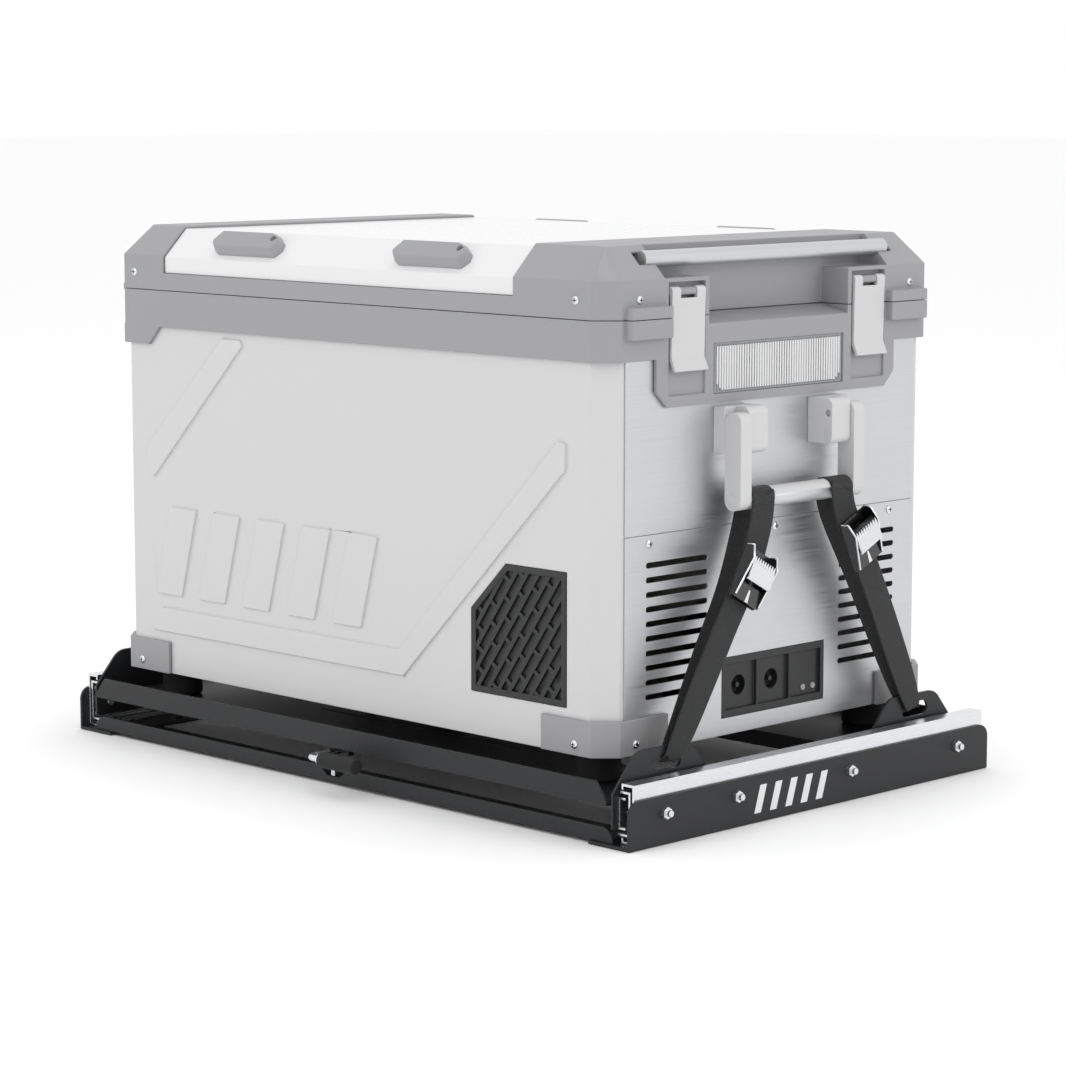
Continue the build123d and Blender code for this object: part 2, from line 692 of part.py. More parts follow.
# grey collar around the top of the cabinet
knuckle_y0 = knuckle_y - knuckle_width / 2
knuckle_y1 = knuckle_y + knuckle_width / 2
latch_x = trim_x1 - latch_pin_in
pocket_y0 = latch_y - latch_width / 2 - latch_side_gap
pocket_y1 = latch_y + latch_width / 2 + latch_side_gap
trim_pocket_x = trim_x1 - 2.5
with BuildPart() as top_trim:
    with BuildSketch(Plane.XY.offset(trim_bottom_z)):
        cut_rectangle(trim_x0, trim_x1, trim_y, corner_cut)
    extrude(amount=deck_z - trim_bottom_z)
    # deeper skirt round the hinge end, with slanted ends
    for face_y in (-1, 1):
        with BuildSketch(Plane.XZ.offset(-face_y * trim_y)):
            outline(
                [
                    (trim_x0 + corner_cut - 1, trim_bottom_z - 17.6),
                    (trim_x0 + 55, trim_bottom_z - 17.6),
                    (trim_x0 + 73, trim_bottom_z + 1),
                    (trim_x0 + corner_cut - 1, trim_bottom_z + 1),
                ]
            )
        extrude(amount=face_y * 12)
    with BuildSketch(Plane.XY.offset(trim_bottom_z - 17.6)):
        cut_rectangle(trim_x0, trim_x1, trim_y, corner_cut)
        with Locations(((trim_x0 + 56 + trim_x1 + 5) / 2, 0)):
            Rectangle(trim_x1 + 5 - trim_x0 - 56, 3 * trim_y, mode=Mode.SUBTRACT)
    extrude(amount=18.6)
    # latch-end drop panel with chamfered lower corners
    with BuildSketch(Plane.YZ.offset(cab_x1 + 0.2)):
        outline(
            [
                (-end_trim_half, trim_bottom_z + 1),
                (-end_trim_half, end_trim_bottom_z + end_trim_cut),
                (-end_trim_half + end_trim_cut, end_trim_bottom_z),
                (end_trim_half - end_trim_cut, end_trim_bottom_z),
                (end_trim_half, end_trim_bottom_z + end_trim_cut),
                (end_trim_half, trim_bottom_z + 1),
            ]
        )
    extrude(amount=trim_proud - 0.2)
    # room for the cabinet and its flange, then the mouth
    with BuildSketch(Plane.XY.offset(trim_bottom_z - 20)):
        cut_rectangle(cab_x0 - fit_gap, cab_x1 + 0.2, cab_y + fit_gap, corner_cut)
    extrude(amount=trim_deck_z + 20 - trim_bottom_z, mode=Mode.SUBTRACT)
    block(mouth_x0 + liner_wall, mouth_x1 - liner_wall, -mouth_y + liner_wall, mouth_y - liner_wall,
          trim_deck_z - 1, seam_z + 1, Mode.SUBTRACT)
    # lens window
    block(cab_x1, trim_x1 + 1, -lens_half, lens_half, lens_bottom_z, lens_top_z, Mode.SUBTRACT)
    # hinge knuckles
    for side in (-1, 1):
        for end in (-1, 1):
            y_mid = side * knuckle_y + end * (knuckle_width / 2 - 7)
            block(hinge_x, trim_x0 + 2, y_mid - 7, y_mid + 7, seam_z - 14, deck_z)
            rod_along_y(hinge_x, seam_z, y_mid - 7, y_mid + 7, hinge_r)
        block(trim_x1 - 2, trim_x1 + bumper_out, side * bumper_y0, side * bumper_y1, seam_z - 17, deck_z)
        rod_along_y(hinge_x, seam_z, side * (knuckle_y0 - 1), side * (knuckle_y1 + 1), hinge_pin_r,
            Mode.SUBTRACT)
        # pocket that each latch lies in, with the ridge it snaps over
        block(trim_pocket_x, trim_x1 + 5, side * pocket_y0, side * pocket_y1, pocket_low_z,
            seam_z + 1, Mode.SUBTRACT)
        block(trim_pocket_x - 1, trim_pocket_x + 1.4, side * latch_y - 12, side * latch_y + 12,
            latch_lip_z + 1.5, latch_lip_z + 6)
    # hand scoop under the grab bar
    with BuildSketch(Plane.XZ.offset(-grab_low_half)):
        outline(
            [
                (trim_x1 + 1, deck_z - scoop_drop),
                (trim_x1, deck_z - scoop_drop),
                (trim_x1 - scoop_back, deck_z + 0.1),
                (trim_x1 + 1, deck_z + 0.1),
            ]
        )
    extrude(amount=2 * grab_low_half, mode=Mode.SUBTRACT)
save(top_trim.part, "top_trim")

lens_thick = 3.0
flute_count = 48
with BuildPart() as light_lens:
    block(cab_x1, cab_x1 + lens_thick - 1, -lens_half + 0.1, lens_half - 0.1, lens_bottom_z + 0.1,
        lens_top_z - 0.1)
    flute_pitch = 2 * (lens_half - 3) / (flute_count - 1)
    for flute in range(flute_count):
        y_mid = -lens_half + 3 + flute * flute_pitch
        block(cab_x1 + 1, cab_x1 + lens_thick, y_mid - flute_pitch / 4, y_mid + flute_pitch / 4,
              lens_bottom_z + 2, lens_top_z - 2)
save(light_lens.part, "light_lens")

with BuildPart() as intake_grille:
    with BuildSketch(Plane.XZ.offset(cab_y - shell_wall)):
        grille_outline(-0.1)
    extrude(amount=shell_wall + 1)
    with BuildSketch(Plane.XZ.offset(cab_y - shell_wall)):
        with Locations(((grille_x0 + grille_x1) / 2 - 2, (grille_z0 + grille_z1) / 2 - 4)):
            with GridLocations(17, 24, 6, 4):
                SlotOverall(20, 7, rotation=45)
    extrude(amount=shell_wall + 2, mode=Mode.SUBTRACT)
save(intake_grille.part, "intake_grille")

with BuildPart() as corner_guards:
    with BuildSketch(Plane.XY.offset(cabinet_bottom_z)):
        cut_rectangle(cab_x0 - guard_thick, cab_x1 + guard_thick, cab_y + guard_thick, corner_cut)
        cut_rectangle(cab_x0 - 0.1, cab_x1 + 0.1, cab_y + 0.1, corner_cut)
    extrude(amount=guard_height)
    with BuildSketch(Plane.XY.offset(cabinet_bottom_z)):
        cut_rectangle(cab_x0 - 0.1, cab_x1 + 0.1, cab_y + 0.1, corner_cut)
    extrude(amount=guard_height, mode=Mode.SUBTRACT)
    block(cab_x0 + guard_leg, cab_x1 - guard_leg, -300, 300, 0, 300, Mode.SUBTRACT)
    block(-500, 500, -cab_y + guard_leg, cab_y - guard_leg, 0, 300, Mode.SUBTRACT)
save(corner_guards.part, "corner_guards")

foot_x = cab_x1 - 45
foot_y = cab_y - 38
foot_x0 = cab_x0 + 45
with BuildPart() as rubber_feet:
    with BuildSketch(Plane.XY.offset(floor_top_z)):
        with Locations((foot_x, foot_y), (foot_x, -foot_y), (foot_x0, foot_y), (foot_x0, -foot_y)):
            Circle(foot_r)
    extrude(amount=cabinet_bottom_z - floor_top_z)
    chamfer(edges().group_by(Axis.Z)[0], 2.5)
save(rubber_feet.part, "rubber_feet")

# ---------------------------------------------------------------- cooling unit
bay_floor = cabinet_bottom_z + shell_wall
with BuildPart() as compressor:
    with Locations((235, 70, bay_floor + 12)):
        Cylinder(56, 22, align=(Align.CENTER, Align.CENTER, Align.MIN))
    with Locations((235, 70, bay_floor + 34)):
        Cylinder(60, 62, align=(Align.CENTER, Align.CENTER, Align.MIN))
    fillet(edges().group_by(Axis.Z)[-1], 22)
    for step in (-1, 1):
        block(180, 290, 70 + step * 46, 70 + step * 58, bay_floor, bay_floor + 12)
    with Locations((235, 70, bay_floor + 96)):
        Cylinder(5, 14, align=(Align.CENTER, Align.CENTER, Align.MIN))
save(compressor.part, "compressor")

fan_x = (grille_x0 + grille_x1) / 2
fan_z = (grille_z0 + grille_z1) / 2
fan_half = 56.0
fan_y0 = -cab_y + shell_wall
fan_thick = 25.0
fan_bore = 52.0
with BuildPart() as fan_frame:
    block(fan_x - fan_half, fan_x + fan_half, fan_y0, fan_y0 + fan_thick, fan_z - fan_half, fan_z + fan_half)
    fillet(edges().filter_by(Axis.Y), 6)
    rod_along_y(fan_x, fan_z, fan_y0 - 1, fan_y0 + fan_thick + 1, fan_bore, Mode.SUBTRACT)
    for turn in (0, 90):
        with Locations((fan_x, fan_y0 + fan_thick - 1.5, fan_z)):
            Box(2 * fan_bore + 2, 3, 8, rotation=(0, turn, 0))
    rod_along_y(fan_x, fan_z, fan_y0 + fan_thick - 3, fan_y0 + fan_thick, 18)
    rod_along_y(fan_x, fan_z, fan_y0 + 8, fan_y0 + fan_thick, 2.0)
save(fan_frame.part, "fan_frame")

with BuildPart() as fan_rotor:
    rod_along_y(fan_x, fan_z, fan_y0 + 2, fan_y0 + fan_thick - 4, 17)
    for blade in range(7):
        with Locations(Location((fan_x, fan_y0 + 11, fan_z), (0, 360 / 7 * blade, 0))):
            with Locations(Location((33, 0, 0), (35, 0, 0))):
                Box(34, 2, 20)
    rod_along_y(fan_x, fan_z, fan_y0 + 7, fan_y0 + fan_thick, 2.05, Mode.SUBTRACT)
save(fan_rotor.part, "fan_rotor")

with BuildPart() as condenser:
    block(178, 300, fan_y0 + fan_thick + 6, fan_y0 + fan_thick + 28, bay_floor + 26, bay_floor + 150)
    for slot in range(15):
        block(184 + 7.6 * slot, 188 + 7.6 * slot, fan_y0 + fan_thick + 5, fan_y0 + fan_thick + 29,
              bay_floor + 32, bay_floor + 144, Mode.SUBTRACT)
    block(184, 296, fan_y0 + fan_thick + 6, fan_y0 + fan_thick + 28, bay_floor, bay_floor + 26)
    block(190, 290, fan_y0 + fan_thick + 5, fan_y0 + fan_thick + 29, bay_floor + 3, bay_floor + 20,
        Mode.SUBTRACT)
save(condenser.part, "condenser")

bay_width = (2 * panel_half - 16) / 3
button_r = 3.0
button_y = (44.0, 58.0)
button_z = 98.0
with BuildPart() as power_panel:
    block(cab_x1 - 14, cab_x1 + 0.3, -panel_half, panel_half, panel_z0, panel_z1)
    fillet(edges().filter_by(Axis.X), 5)
    for bay in (-1, 0, 1):
        with Locations((cab_x1 - 1, bay * (bay_width + 3), (panel_z0 + panel_z1) / 2)):
            Box(4, bay_width, panel_z1 - panel_z0 - 14, mode=Mode.SUBTRACT)
    for side in (-1, 0):
        rod_along_x(side * (bay_width + 3), (panel_z0 + panel_z1) / 2, cab_x1 - 12, cab_x1, 9, Mode.SUBTRACT)
        rod_along_x(side * (bay_width + 3), (panel_z0 + panel_z1) / 2, cab_x1 - 14, cab_x1 - 4, 2.5)
    for y in button_y:
        rod_along_x(y, button_z, cab_x1 - 12, cab_x1, button_r + 0.1, Mode.SUBTRACT)
save(power_panel.part, "power_panel")

for name, y in (("power_button", button_y[0]), ("set_button", button_y[1])):
    with BuildPart() as button:
        rod_along_x(y, button_z, cab_x1 - 8, cab_x1 - 1.5, button_r)
        fillet(edges().filter_by(GeomType.CIRCLE).sort_by(Axis.X)[-1], 0.6)
    save(button.part, name)

basket_x0 = mouth_x0 + 12
basket_x1 = step_x - 12
basket_y = mouth_y - 12
basket_low = liner_low_z + liner_wall
basket_high = 300.0
with BuildPart() as basket:
    block(basket_x0, basket_x1, -basket_y, basket_y, basket_low, basket_high)
    fillet(edges().filter_by(Axis.Z), 18)
    block(basket_x0 + 3, basket_x1 - 3, -basket_y + 3, basket_y - 3, basket_low + 3,
        basket_high + 1, Mode.SUBTRACT)
    with BuildSketch(Plane.XZ.offset(-basket_y - 1)):
        with Locations(((basket_x0 + basket_x1) / 2, (basket_low + basket_high) / 2)):
            with GridLocations(38, 40, 9, 4):
                Rectangle(30, 32)
    extrude(amount=2 * basket_y + 2, mode=Mode.SUBTRACT)
    with BuildSketch(Plane.YZ.offset(basket_x0 - 1)):
        with Locations((0, (basket_low + basket_high) / 2)):
            with GridLocations(38, 40, 7, 4):
                Rectangle(30, 32)
    extrude(amount=basket_x1 - basket_x0 + 2, mode=Mode.SUBTRACT)
save(basket.part, "basket")

# ---------------------------------------------------------------- lid
def lid_solid(sink, low_z):
    """Add the lid's outer form, sunk by an amount, from a height up to its flat top."""
    top = lid_top_z - sink
    crease = crease_z - crease_sink * sink
    with BuildSketch(Plane.XY.offset(low_z)) as wall:
        cut_rectangle(trim_x0 + sink, trim_x1 - sink, trim_y - sink, corner_cut - corner_sink * sink)
    extrude(wall.sketch, amount=crease - low_z)
    with BuildSketch(Plane.XY.offset(crease)) as slopes:
        cut_rectangle(trim_x0 + sink, trim_x1 - sink, trim_y - sink, corner_cut - corner_sink * sink)
    extrude(slopes.sketch, amount=top - crease, taper=45)
    for half, z0, z1 in ((grab_half, crease, lid_top_z + 5), (grab_low_half, low_z - 1, crease + 1)):
        block(trim_x1 - grab_back - sink, trim_x1 + 5, -half - sink, half + sink, z0, z1, Mode.SUBTRACT)


with BuildPart() as lid_inside:
    lid_solid(lid_wall, lid_low_z - 5)

with BuildPart() as panel_outside:
    lid_solid(panel_sink, panel_low_z)

bar_x = trim_x1 - 18.8
bar_z = 500.0
with BuildPart() as lid_frame:
    lid_solid(0, lid_low_z)
    add(lid_inside.part, mode=Mode.SUBTRACT)
    block(panel_x0, panel_x1, -trim_y - 5, trim_y + 5, panel_low_z, lid_top_z + 5, Mode.SUBTRACT)
    rod_along_y(bar_x, bar_z, -grab_half - 20, grab_half + 20, bar_r, Mode.SUBTRACT)
    for side in (-1, 1):
        block(hinge_x, trim_x0 + 2, side * knuckle_y - 8.5, side * knuckle_y + 8.5, lid_low_z, seam_z + 12)
        rod_along_y(hinge_x, seam_z, side * knuckle_y - 8.5, side * knuckle_y + 8.5, hinge_r)
        rod_along_y(hinge_x, seam_z, side * knuckle_y - 10, side * knuckle_y + 10,
            hinge_pin_r + 0.05, Mode.SUBTRACT)
        block(trim_x1 - 2, trim_x1 + bumper_out, side * bumper_y0, side * bumper_y1, lid_low_z,
            lid_low_z + bumper_reach)
        # walled pocket for each latch, with the knuckle that the latch turns on
        y_mid = side * latch_y
        wall = lid_wall
        block(trim_x1 - pocket_depth - wall, trim_x1 - 1, side * (pocket_y0 - wall),
            side * (pocket_y1 + wall),
              lid_low_z + 4.5, pocket_top_z + wall)
        block(trim_x1 - pocket_depth, trim_x1 + 20, side * pocket_y0, side * pocket_y1,
            lid_low_z - 1, pocket_top_z,
              Mode.SUBTRACT)
        block(trim_x1 - pocket_depth - 1, latch_x, y_mid - 10, y_mid + 10, latch_pin_z - 3.6,
            latch_pin_z + 3.6)
        rod_along_y(latch_x, latch_pin_z, y_mid - 10, y_mid + 10, 3.6)
        rod_along_y(latch_x, latch_pin_z, y_mid - 12, y_mid + 12, latch_pin_r + 0.05, Mode.SUBTRACT)
save(lid_frame.part, "lid_frame")

with BuildPart() as lid_panel:
    add(panel_outside.part)
    with BuildPart(mode=Mode.PRIVATE) as panel_inside:
        lid_solid(panel_sink + 2.0, panel_low_z - 5)
    add(panel_inside.part, mode=Mode.SUBTRACT)
    block(panel_x0 + 0.1, panel_x1 - 0.1, -trim_y, trim_y, panel_low_z + 0.1, lid_top_z, Mode.INTERSECT)
save(lid_panel.part, "lid_panel")

plug_gap = 4.0
plug_low = trim_deck_z + 1
pan_top = lid_low_z + 4.0
pan_sheet = 1.8
seal_gap = 0.1
with BuildPart() as lid_liner:
    lid_solid(lid_wall, pan_top - pan_sheet)
    block(trim_x0, trim_x1, -trim_y, trim_y, pan_top, lid_top_z + 1, Mode.SUBTRACT)
    for side in (-1, 1):
        block(trim_x1 - pocket_depth - lid_wall, trim_x1, side * (pocket_y0 - lid_wall),
            side * (pocket_y1 + lid_wall),
              lid_low_z, pan_top + 1, Mode.SUBTRACT)
    block(mouth_x0 + liner_wall + plug_gap, mouth_x1 - liner_wall - plug_gap,
        -mouth_y + liner_wall + plug_gap,
          mouth_y - liner_wall - plug_gap, plug_low, pan_top)
    block(mouth_x0 + liner_wall + plug_gap + 2, mouth_x1 - liner_wall - plug_gap - 2,
          -mouth_y + liner_wall + plug_gap + 2, mouth_y - liner_wall - plug_gap - 2, plug_low + 2, pan_top + 1,
          Mode.SUBTRACT)
save(lid_liner.part, "lid_liner")

foam_low = pan_top + foam_gap
with BuildPart() as lid_foam:
    lid_solid(lid_wall + 2.5, foam_low)
    for side in (-1, 1):
        block(trim_x1 - pocket_depth - lid_wall - 1, trim_x1, side * (pocket_y0 - lid_wall - 1),
            side * (pocket_y1 + lid_wall + 1),
              lid_low_z, pocket_top_z + lid_wall + 1, Mode.SUBTRACT)
    rod_along_y(bar_x, bar_z, -grab_half - 20, grab_half + 20, bar_r + 1, Mode.SUBTRACT)
save(lid_foam.part, "lid_foam")

with BuildPart() as lid_gasket:
    block(mouth_x0 - 12, mouth_x1 + 6, -mouth_y - 12, mouth_y + 12, deck_z + 0.2,
        pan_top - pan_sheet - seal_gap)
    block(mouth_x0 - 1, mouth_x1 - 5, -mouth_y + 1, mouth_y - 1, deck_z - 1, pan_top + 1, Mode.SUBTRACT)
save(lid_gasket.part, "lid_gasket")

with BuildPart() as lid_grab_bar:
    rod_along_y(bar_x, bar_z, -grab_half - 13, grab_half + 13, bar_r)
save(lid_grab_bar.part, "lid_grab_bar")

pod_x = ((panel_x0 + panel_x1) / 2 - 128, (panel_x0 + panel_x1) / 2 + 128)
pod_rise = 13.5
pod_height = 11.0
pod_hole_r = 3.2
pod_hole_depth = 9.0
pod_mid_y = trim_y - panel_sink - pod_rise
pod_mid_z = crease_z - crease_sink * panel_sink + pod_rise
with BuildPart() as anchor_pods:
    for side in (-1, 1):
        for x in pod_x:
            slope = Plane(origin=(x, side * pod_mid_y, pod_mid_z), x_dir=(-side, 0, 0), z_dir=(0, side, 1))
            with BuildSketch(slope) as pod_face:
                outline([(-50, -3), (-42, 13), (34, 13), (47, 4), (50, -4), (44, -13), (-38, -13), (-46, -9)])
            extrude(amount=pod_height, taper=18)
            with Locations(slope.offset(pod_height)):
                with Locations((38, 3)):
                    Hole(pod_hole_r, pod_hole_depth)
save(anchor_pods.part, "anchor_pods")

with BuildPart() as hinge_pins:
    for side in (-1, 1):
        rod_along_y(hinge_x, seam_z, side * knuckle_y0, side * knuckle_y1, hinge_pin_r)
save(hinge_pins.part, "hinge_pins")

latch_face_x = latch_x + latch_sheet
for name, side in (("front_latch", -1), ("rear_latch", 1)):
    y_mid = side * latch_y
    y0 = y_mid - latch_width / 2
    y1 = y_mid + latch_width / 2
    with BuildPart() as latch:
        with BuildSketch(Plane.XZ.offset(-y1)):
            outline(
                [
                    (latch_x, latch_pin_z + latch_barrel_r),
                    (latch_x + latch_barrel_r, latch_pin_z),
                    (latch_face_x + 0.6, latch_bend_z),
                    (latch_face_x, latch_low_z),
                    (latch_face_x + latch_lip_out - 1, latch_lip_z),
                    (latch_face_x + latch_lip_out - 4, latch_lip_z - 1),
                    (latch_x, latch_low_z - 2),
                    (latch_x, latch_pin_z - latch_barrel_r),
                ]
            )
        extrude(amount=latch_width)
        rod_along_y(latch_x, latch_pin_z, y0, y1, latch_barrel_r)
        block(latch_x - 9, latch_x + 9, y_mid - 10.4, y_mid + 10.4, latch_pin_z - 6,
            latch_pin_z + 9, Mode.SUBTRACT)
        rod_along_y(latch_x, latch_pin_z, y0 + 5, y1 - 5, latch_pin_r)
    save(latch.part, name)

# ---------------------------------------------------------------- drop handles
def drop_handle(x_mid):
    """Add a carrying handle: two arms and the bar between them."""
    for side in (-1, 1):
        with BuildSketch(Plane.XZ.offset(-side * arm_inner_y)) as arm:
            with Locations((x_mid, (handle_z + handle_bar_z) / 2)):
                SlotOverall(handle_z - handle_bar_z + 2 * arm_half, 2 * arm_half, rotation=90)
        extrude(arm.sketch, amount=-side * arm_thick)
        rod_along_y(x_mid, handle_z, side * (bracket_inner_y + 4), side * arm_inner_y, handle_pin_r)
    rod_along_y(x_mid, handle_bar_z, -arm_inner_y, arm_inner_y, handle_bar_r)


with BuildPart() as right_drop_handle:
    drop_handle(handle_x1)
save(right_drop_handle.part, "right_drop_handle")

with BuildPart() as left_drop_handle:
    drop_handle(handle_x0)
save(left_drop_handle.part, "left_drop_handle")

with BuildPart() as handle_brackets:
    for face_x, pivot_x in ((cab_x1, handle_x1), (cab_x0, handle_x0)):
        out = 1 if pivot_x > face_x else -1
        nose_x = pivot_x + out * bracket_front
        for side in (-1, 1):
            y0 = side * bracket_inner_y
            y1 = side * (arm_inner_y - arm_gap)
            y2 = side * (arm_inner_y + arm_thick)
            with BuildSketch(Plane.XZ.offset(-y0)) as nose:
                with Locations(((face_x + nose_x) / 2, (bracket_z0 + bracket_z1) / 2)):
                    Rectangle(abs(nose_x - face_x), bracket_z1 - bracket_z0)
                front = nose.vertices().sort_by(Axis.X)
                fillet(front[-2:] if out > 0 else front[:2], bracket_round)
            extrude(nose.sketch, amount=-(y1 - y0))
            block(face_x, pivot_x - out * (arm_half + arm_gap), y1 - side, y2, bracket_z0, bracket_z1)
            rod_along_y(pivot_x, handle_z, y0 - side, y1 + side, handle_pin_r + 0.05, Mode.SUBTRACT)
save(handle_brackets.part, "handle_brackets")

# ---------------------------------------------------------------- tie-down straps
ear_mid_x = tray_edge - tray_sheet / 2
bar_loop_r = handle_bar_r + bar_play
slot_loop_r = tray_sheet / 2 + slot_play
bar_centre = Vector(handle_x1, 0, handle_bar_z)
slot_centre = Vector(ear_mid_x, 0, ear_slot_z)
run = slot_centre - bar_centre
run_dir = run.normalized()
side_dir = run_dir.cross(Vector(0, 1, 0))
loop_lean = math.asin((bar_loop_r - slot_loop_r) / run.length)


def leg_normal(out):
    """The way that one leg of the loop faces: out is 1 for the outer leg, -1 for the inner one."""
    across = side_dir if side_dir.X * out > 0 else side_dir * -1
    return across * math.cos(loop_lean) + run_dir * math.sin(loop_lean)


def strap_leg(out, stations):
    """Add one flat leg; a station is a middle y, a width and a share of the run down from the bar."""
    normal = leg_normal(out)
    start = bar_centre + normal * bar_loop_r
    length = (slot_centre + normal * slot_loop_r - start).length
    face = Plane(origin=start, x_dir=(0, 1, 0), z_dir=normal)
    down = 1 if face.y_dir.Z < 0 else -1
    near = [(y - width / 2, down * share * length) for y, width, share in stations]
    far = [(y + width / 2, down * share * length) for y, width, share in reversed(stations)]
    with BuildSketch(face) as leg:
        outline(near + far)
    extrude(leg.sketch, amount=strap_thick)


def strap_turn(centre, radius, y, width, away):
    """Add the round turn over the bar or through the slot, with the half towards the other end cut off."""
    plane = Plane(origin=centre + Vector(0, y + width / 2, 0), x_dir=(1, 0, 0), z_dir=(0, -1, 0))
    reach = 4 * (radius + strap_thick)
    corners = [leg_normal(1) * reach, run_dir * reach * away * -1, leg_normal(-1) * reach]
    with BuildSketch(plane) as turn:
        Circle(radius + strap_thick)
        Circle(radius, mode=Mode.SUBTRACT)
        Polygon((0, 0), *[(v.X, v.Z) for v in corners], align=None, mode=Mode.SUBTRACT)
    extrude(turn.sketch, amount=width)


strap_ends = (
    (-strap_y, front_ear_y + ear_slot_shift + strap_foot_shift, front_buckle_y, front_buckle_z),
    (strap_y, rear_ear_y + ear_slot_shift - strap_foot_shift, rear_buckle_y, rear_buckle_z),
)
with BuildPart() as tie_down_straps:
    for top_y, foot_y, mid_y, mid_z in strap_ends:
        top = (top_y, strap_width, 0)
        foot = (foot_y, strap_foot_width, 1)
        middle = (mid_y, strap_width, (handle_bar_z - mid_z) / (handle_bar_z - ear_slot_z))
        strap_leg(1, [top, middle, foot])
        strap_leg(-1, [top, foot])
        strap_turn(bar_centre, bar_loop_r, top_y, strap_width, -1)
        strap_turn(slot_centre, slot_loop_r, foot_y, strap_foot_width, 1)
save(tie_down_straps.part, "tie_down_straps")


def buckle_plane(top_y, mid_y, mid_z, foot_y):
    """The plane that a buckle lies in, on the outer leg of its strap, with y up the strap."""
    lean = Vector(0, top_y - foot_y, handle_bar_z - ear_slot_z).normalized()
    share = (handle_bar_z - mid_z) / (handle_bar_z - ear_slot_z)
    out = bar_centre + leg_normal(1) * (bar_loop_r + strap_thick) + run * share
    normal = leg_normal(1)
    return Plane(origin=(out.X + buckle_gap, mid_y, mid_z), x_dir=lean.cross(normal), z_dir=normal)


buckle_gap = 0.6
buckle_half = 18.0
buckle_low = -26.0
buckle_high = 24.0
buckle_sheet = 1.5
cam_y = 12.0
cam_out = 9.0
cam_pin_r = 1.5
faces = [buckle_plane(top_y, mid_y, mid_z, foot_y) for top_y, foot_y, mid_y, mid_z in strap_ends]
pins = [Plane(origin=f.origin + f.y_dir * cam_y + f.z_dir * cam_out, x_dir=f.y_dir,
    z_dir=f.x_dir) for f in faces]
with BuildPart() as cam_buckles:
    for face, pin in zip(faces, pins):
        with BuildSketch(face):
            with Locations((0, (buckle_low + buckle_high) / 2)):
                Rectangle(2 * buckle_half, buckle_high - buckle_low)
        extrude(amount=1.2)
        with BuildSketch(face.offset(4.8)):
            with Locations((0, buckle_low + 9)):
                Rectangle(2 * buckle_half, 16)
        extrude(amount=1.2)
        for edge in (-1, 1):
            with BuildSketch(pin.offset(edge * buckle_half)):
                with Locations((-cam_y, 0)):
                    outline(
                        [
                            (buckle_low, -cam_out),
                            (buckle_low + 3, 7 - cam_out),
                            (cam_y, 14 - cam_out),
                            (buckle_high, 9 - cam_out),
                            (buckle_high, -cam_out),
                        ]
                    )
            extrude(amount=-edge * buckle_sheet)
        with BuildSketch(pin.offset(-buckle_half)):
            Circle(cam_pin_r)
        extrude(amount=2 * buckle_half)
save(cam_buckles.part, "cam_buckles")

for name, pin in zip(("front", "rear"), pins):
    cam_half = buckle_half - buckle_sheet - 0.3
    with BuildPart() as cam_lever:
        with BuildSketch(pin.offset(-cam_half)):
            Circle(4.2)
            outline([(-1, 4.1), (-17, 5.4), (-19, 3.6), (-3, -1.5)])
            Circle(cam_pin_r + 0.05, mode=Mode.SUBTRACT)
        extrude(amount=2 * cam_half)
    save(cam_lever.part, name + "_cam_lever")

# ---------------------------------------------------------------- small screws of the cabinet
screw_r = 3.4
with BuildPart() as case_screws:
    for side in (-1, 1):
        for y in (-167.5, 0, 163.5):
            if side > 0:
                rod_along_x(y, plate_seam_z - 7.8, cab_x1, cab_x1 + 1.2, screw_r)
        rod_along_y(cab_x1 - 34, cabinet_bottom_z + 10, side * (cab_y + guard_thick),
            side * (cab_y + guard_thick + 1.2), screw_r)
        rod_along_y(cab_x0 + 34, cabinet_bottom_z + 10, side * (cab_y + guard_thick),
            side * (cab_y + guard_thick + 1.2), screw_r)
        rod_along_x(side * (cab_y - 34), cabinet_bottom_z + 10, cab_x1 + guard_thick,
            cab_x1 + guard_thick + 1.2, screw_r)
save(case_screws.part, "case_screws")
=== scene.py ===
"""Dresses a compressor cooler fridge that stands on a locking slide under two tie-down straps."""

import json
import math

import bmesh
import bpy
from mathutils import Matrix, Vector


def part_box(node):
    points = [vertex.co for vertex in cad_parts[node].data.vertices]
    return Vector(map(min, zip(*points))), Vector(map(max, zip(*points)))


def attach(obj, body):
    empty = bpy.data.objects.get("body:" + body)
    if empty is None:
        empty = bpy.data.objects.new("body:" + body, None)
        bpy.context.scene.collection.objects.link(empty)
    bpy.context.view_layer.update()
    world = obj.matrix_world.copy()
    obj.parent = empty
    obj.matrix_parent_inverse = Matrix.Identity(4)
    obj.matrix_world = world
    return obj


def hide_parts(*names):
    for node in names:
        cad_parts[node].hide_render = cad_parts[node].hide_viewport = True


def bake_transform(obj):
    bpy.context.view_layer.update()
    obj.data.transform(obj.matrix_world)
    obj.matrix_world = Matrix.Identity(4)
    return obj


bl_info = {
    "name": "Cooler Fridge on a Slide",
    "version": (1, 0, 0),
    "blender": (4, 5, 0),
    "location": "View3D > Sidebar > Cooler Fridge",
    "description": "Finishes, webbing, buckles and small parts of a compressor cooler fridge on its slide",
    "category": "Object",
}

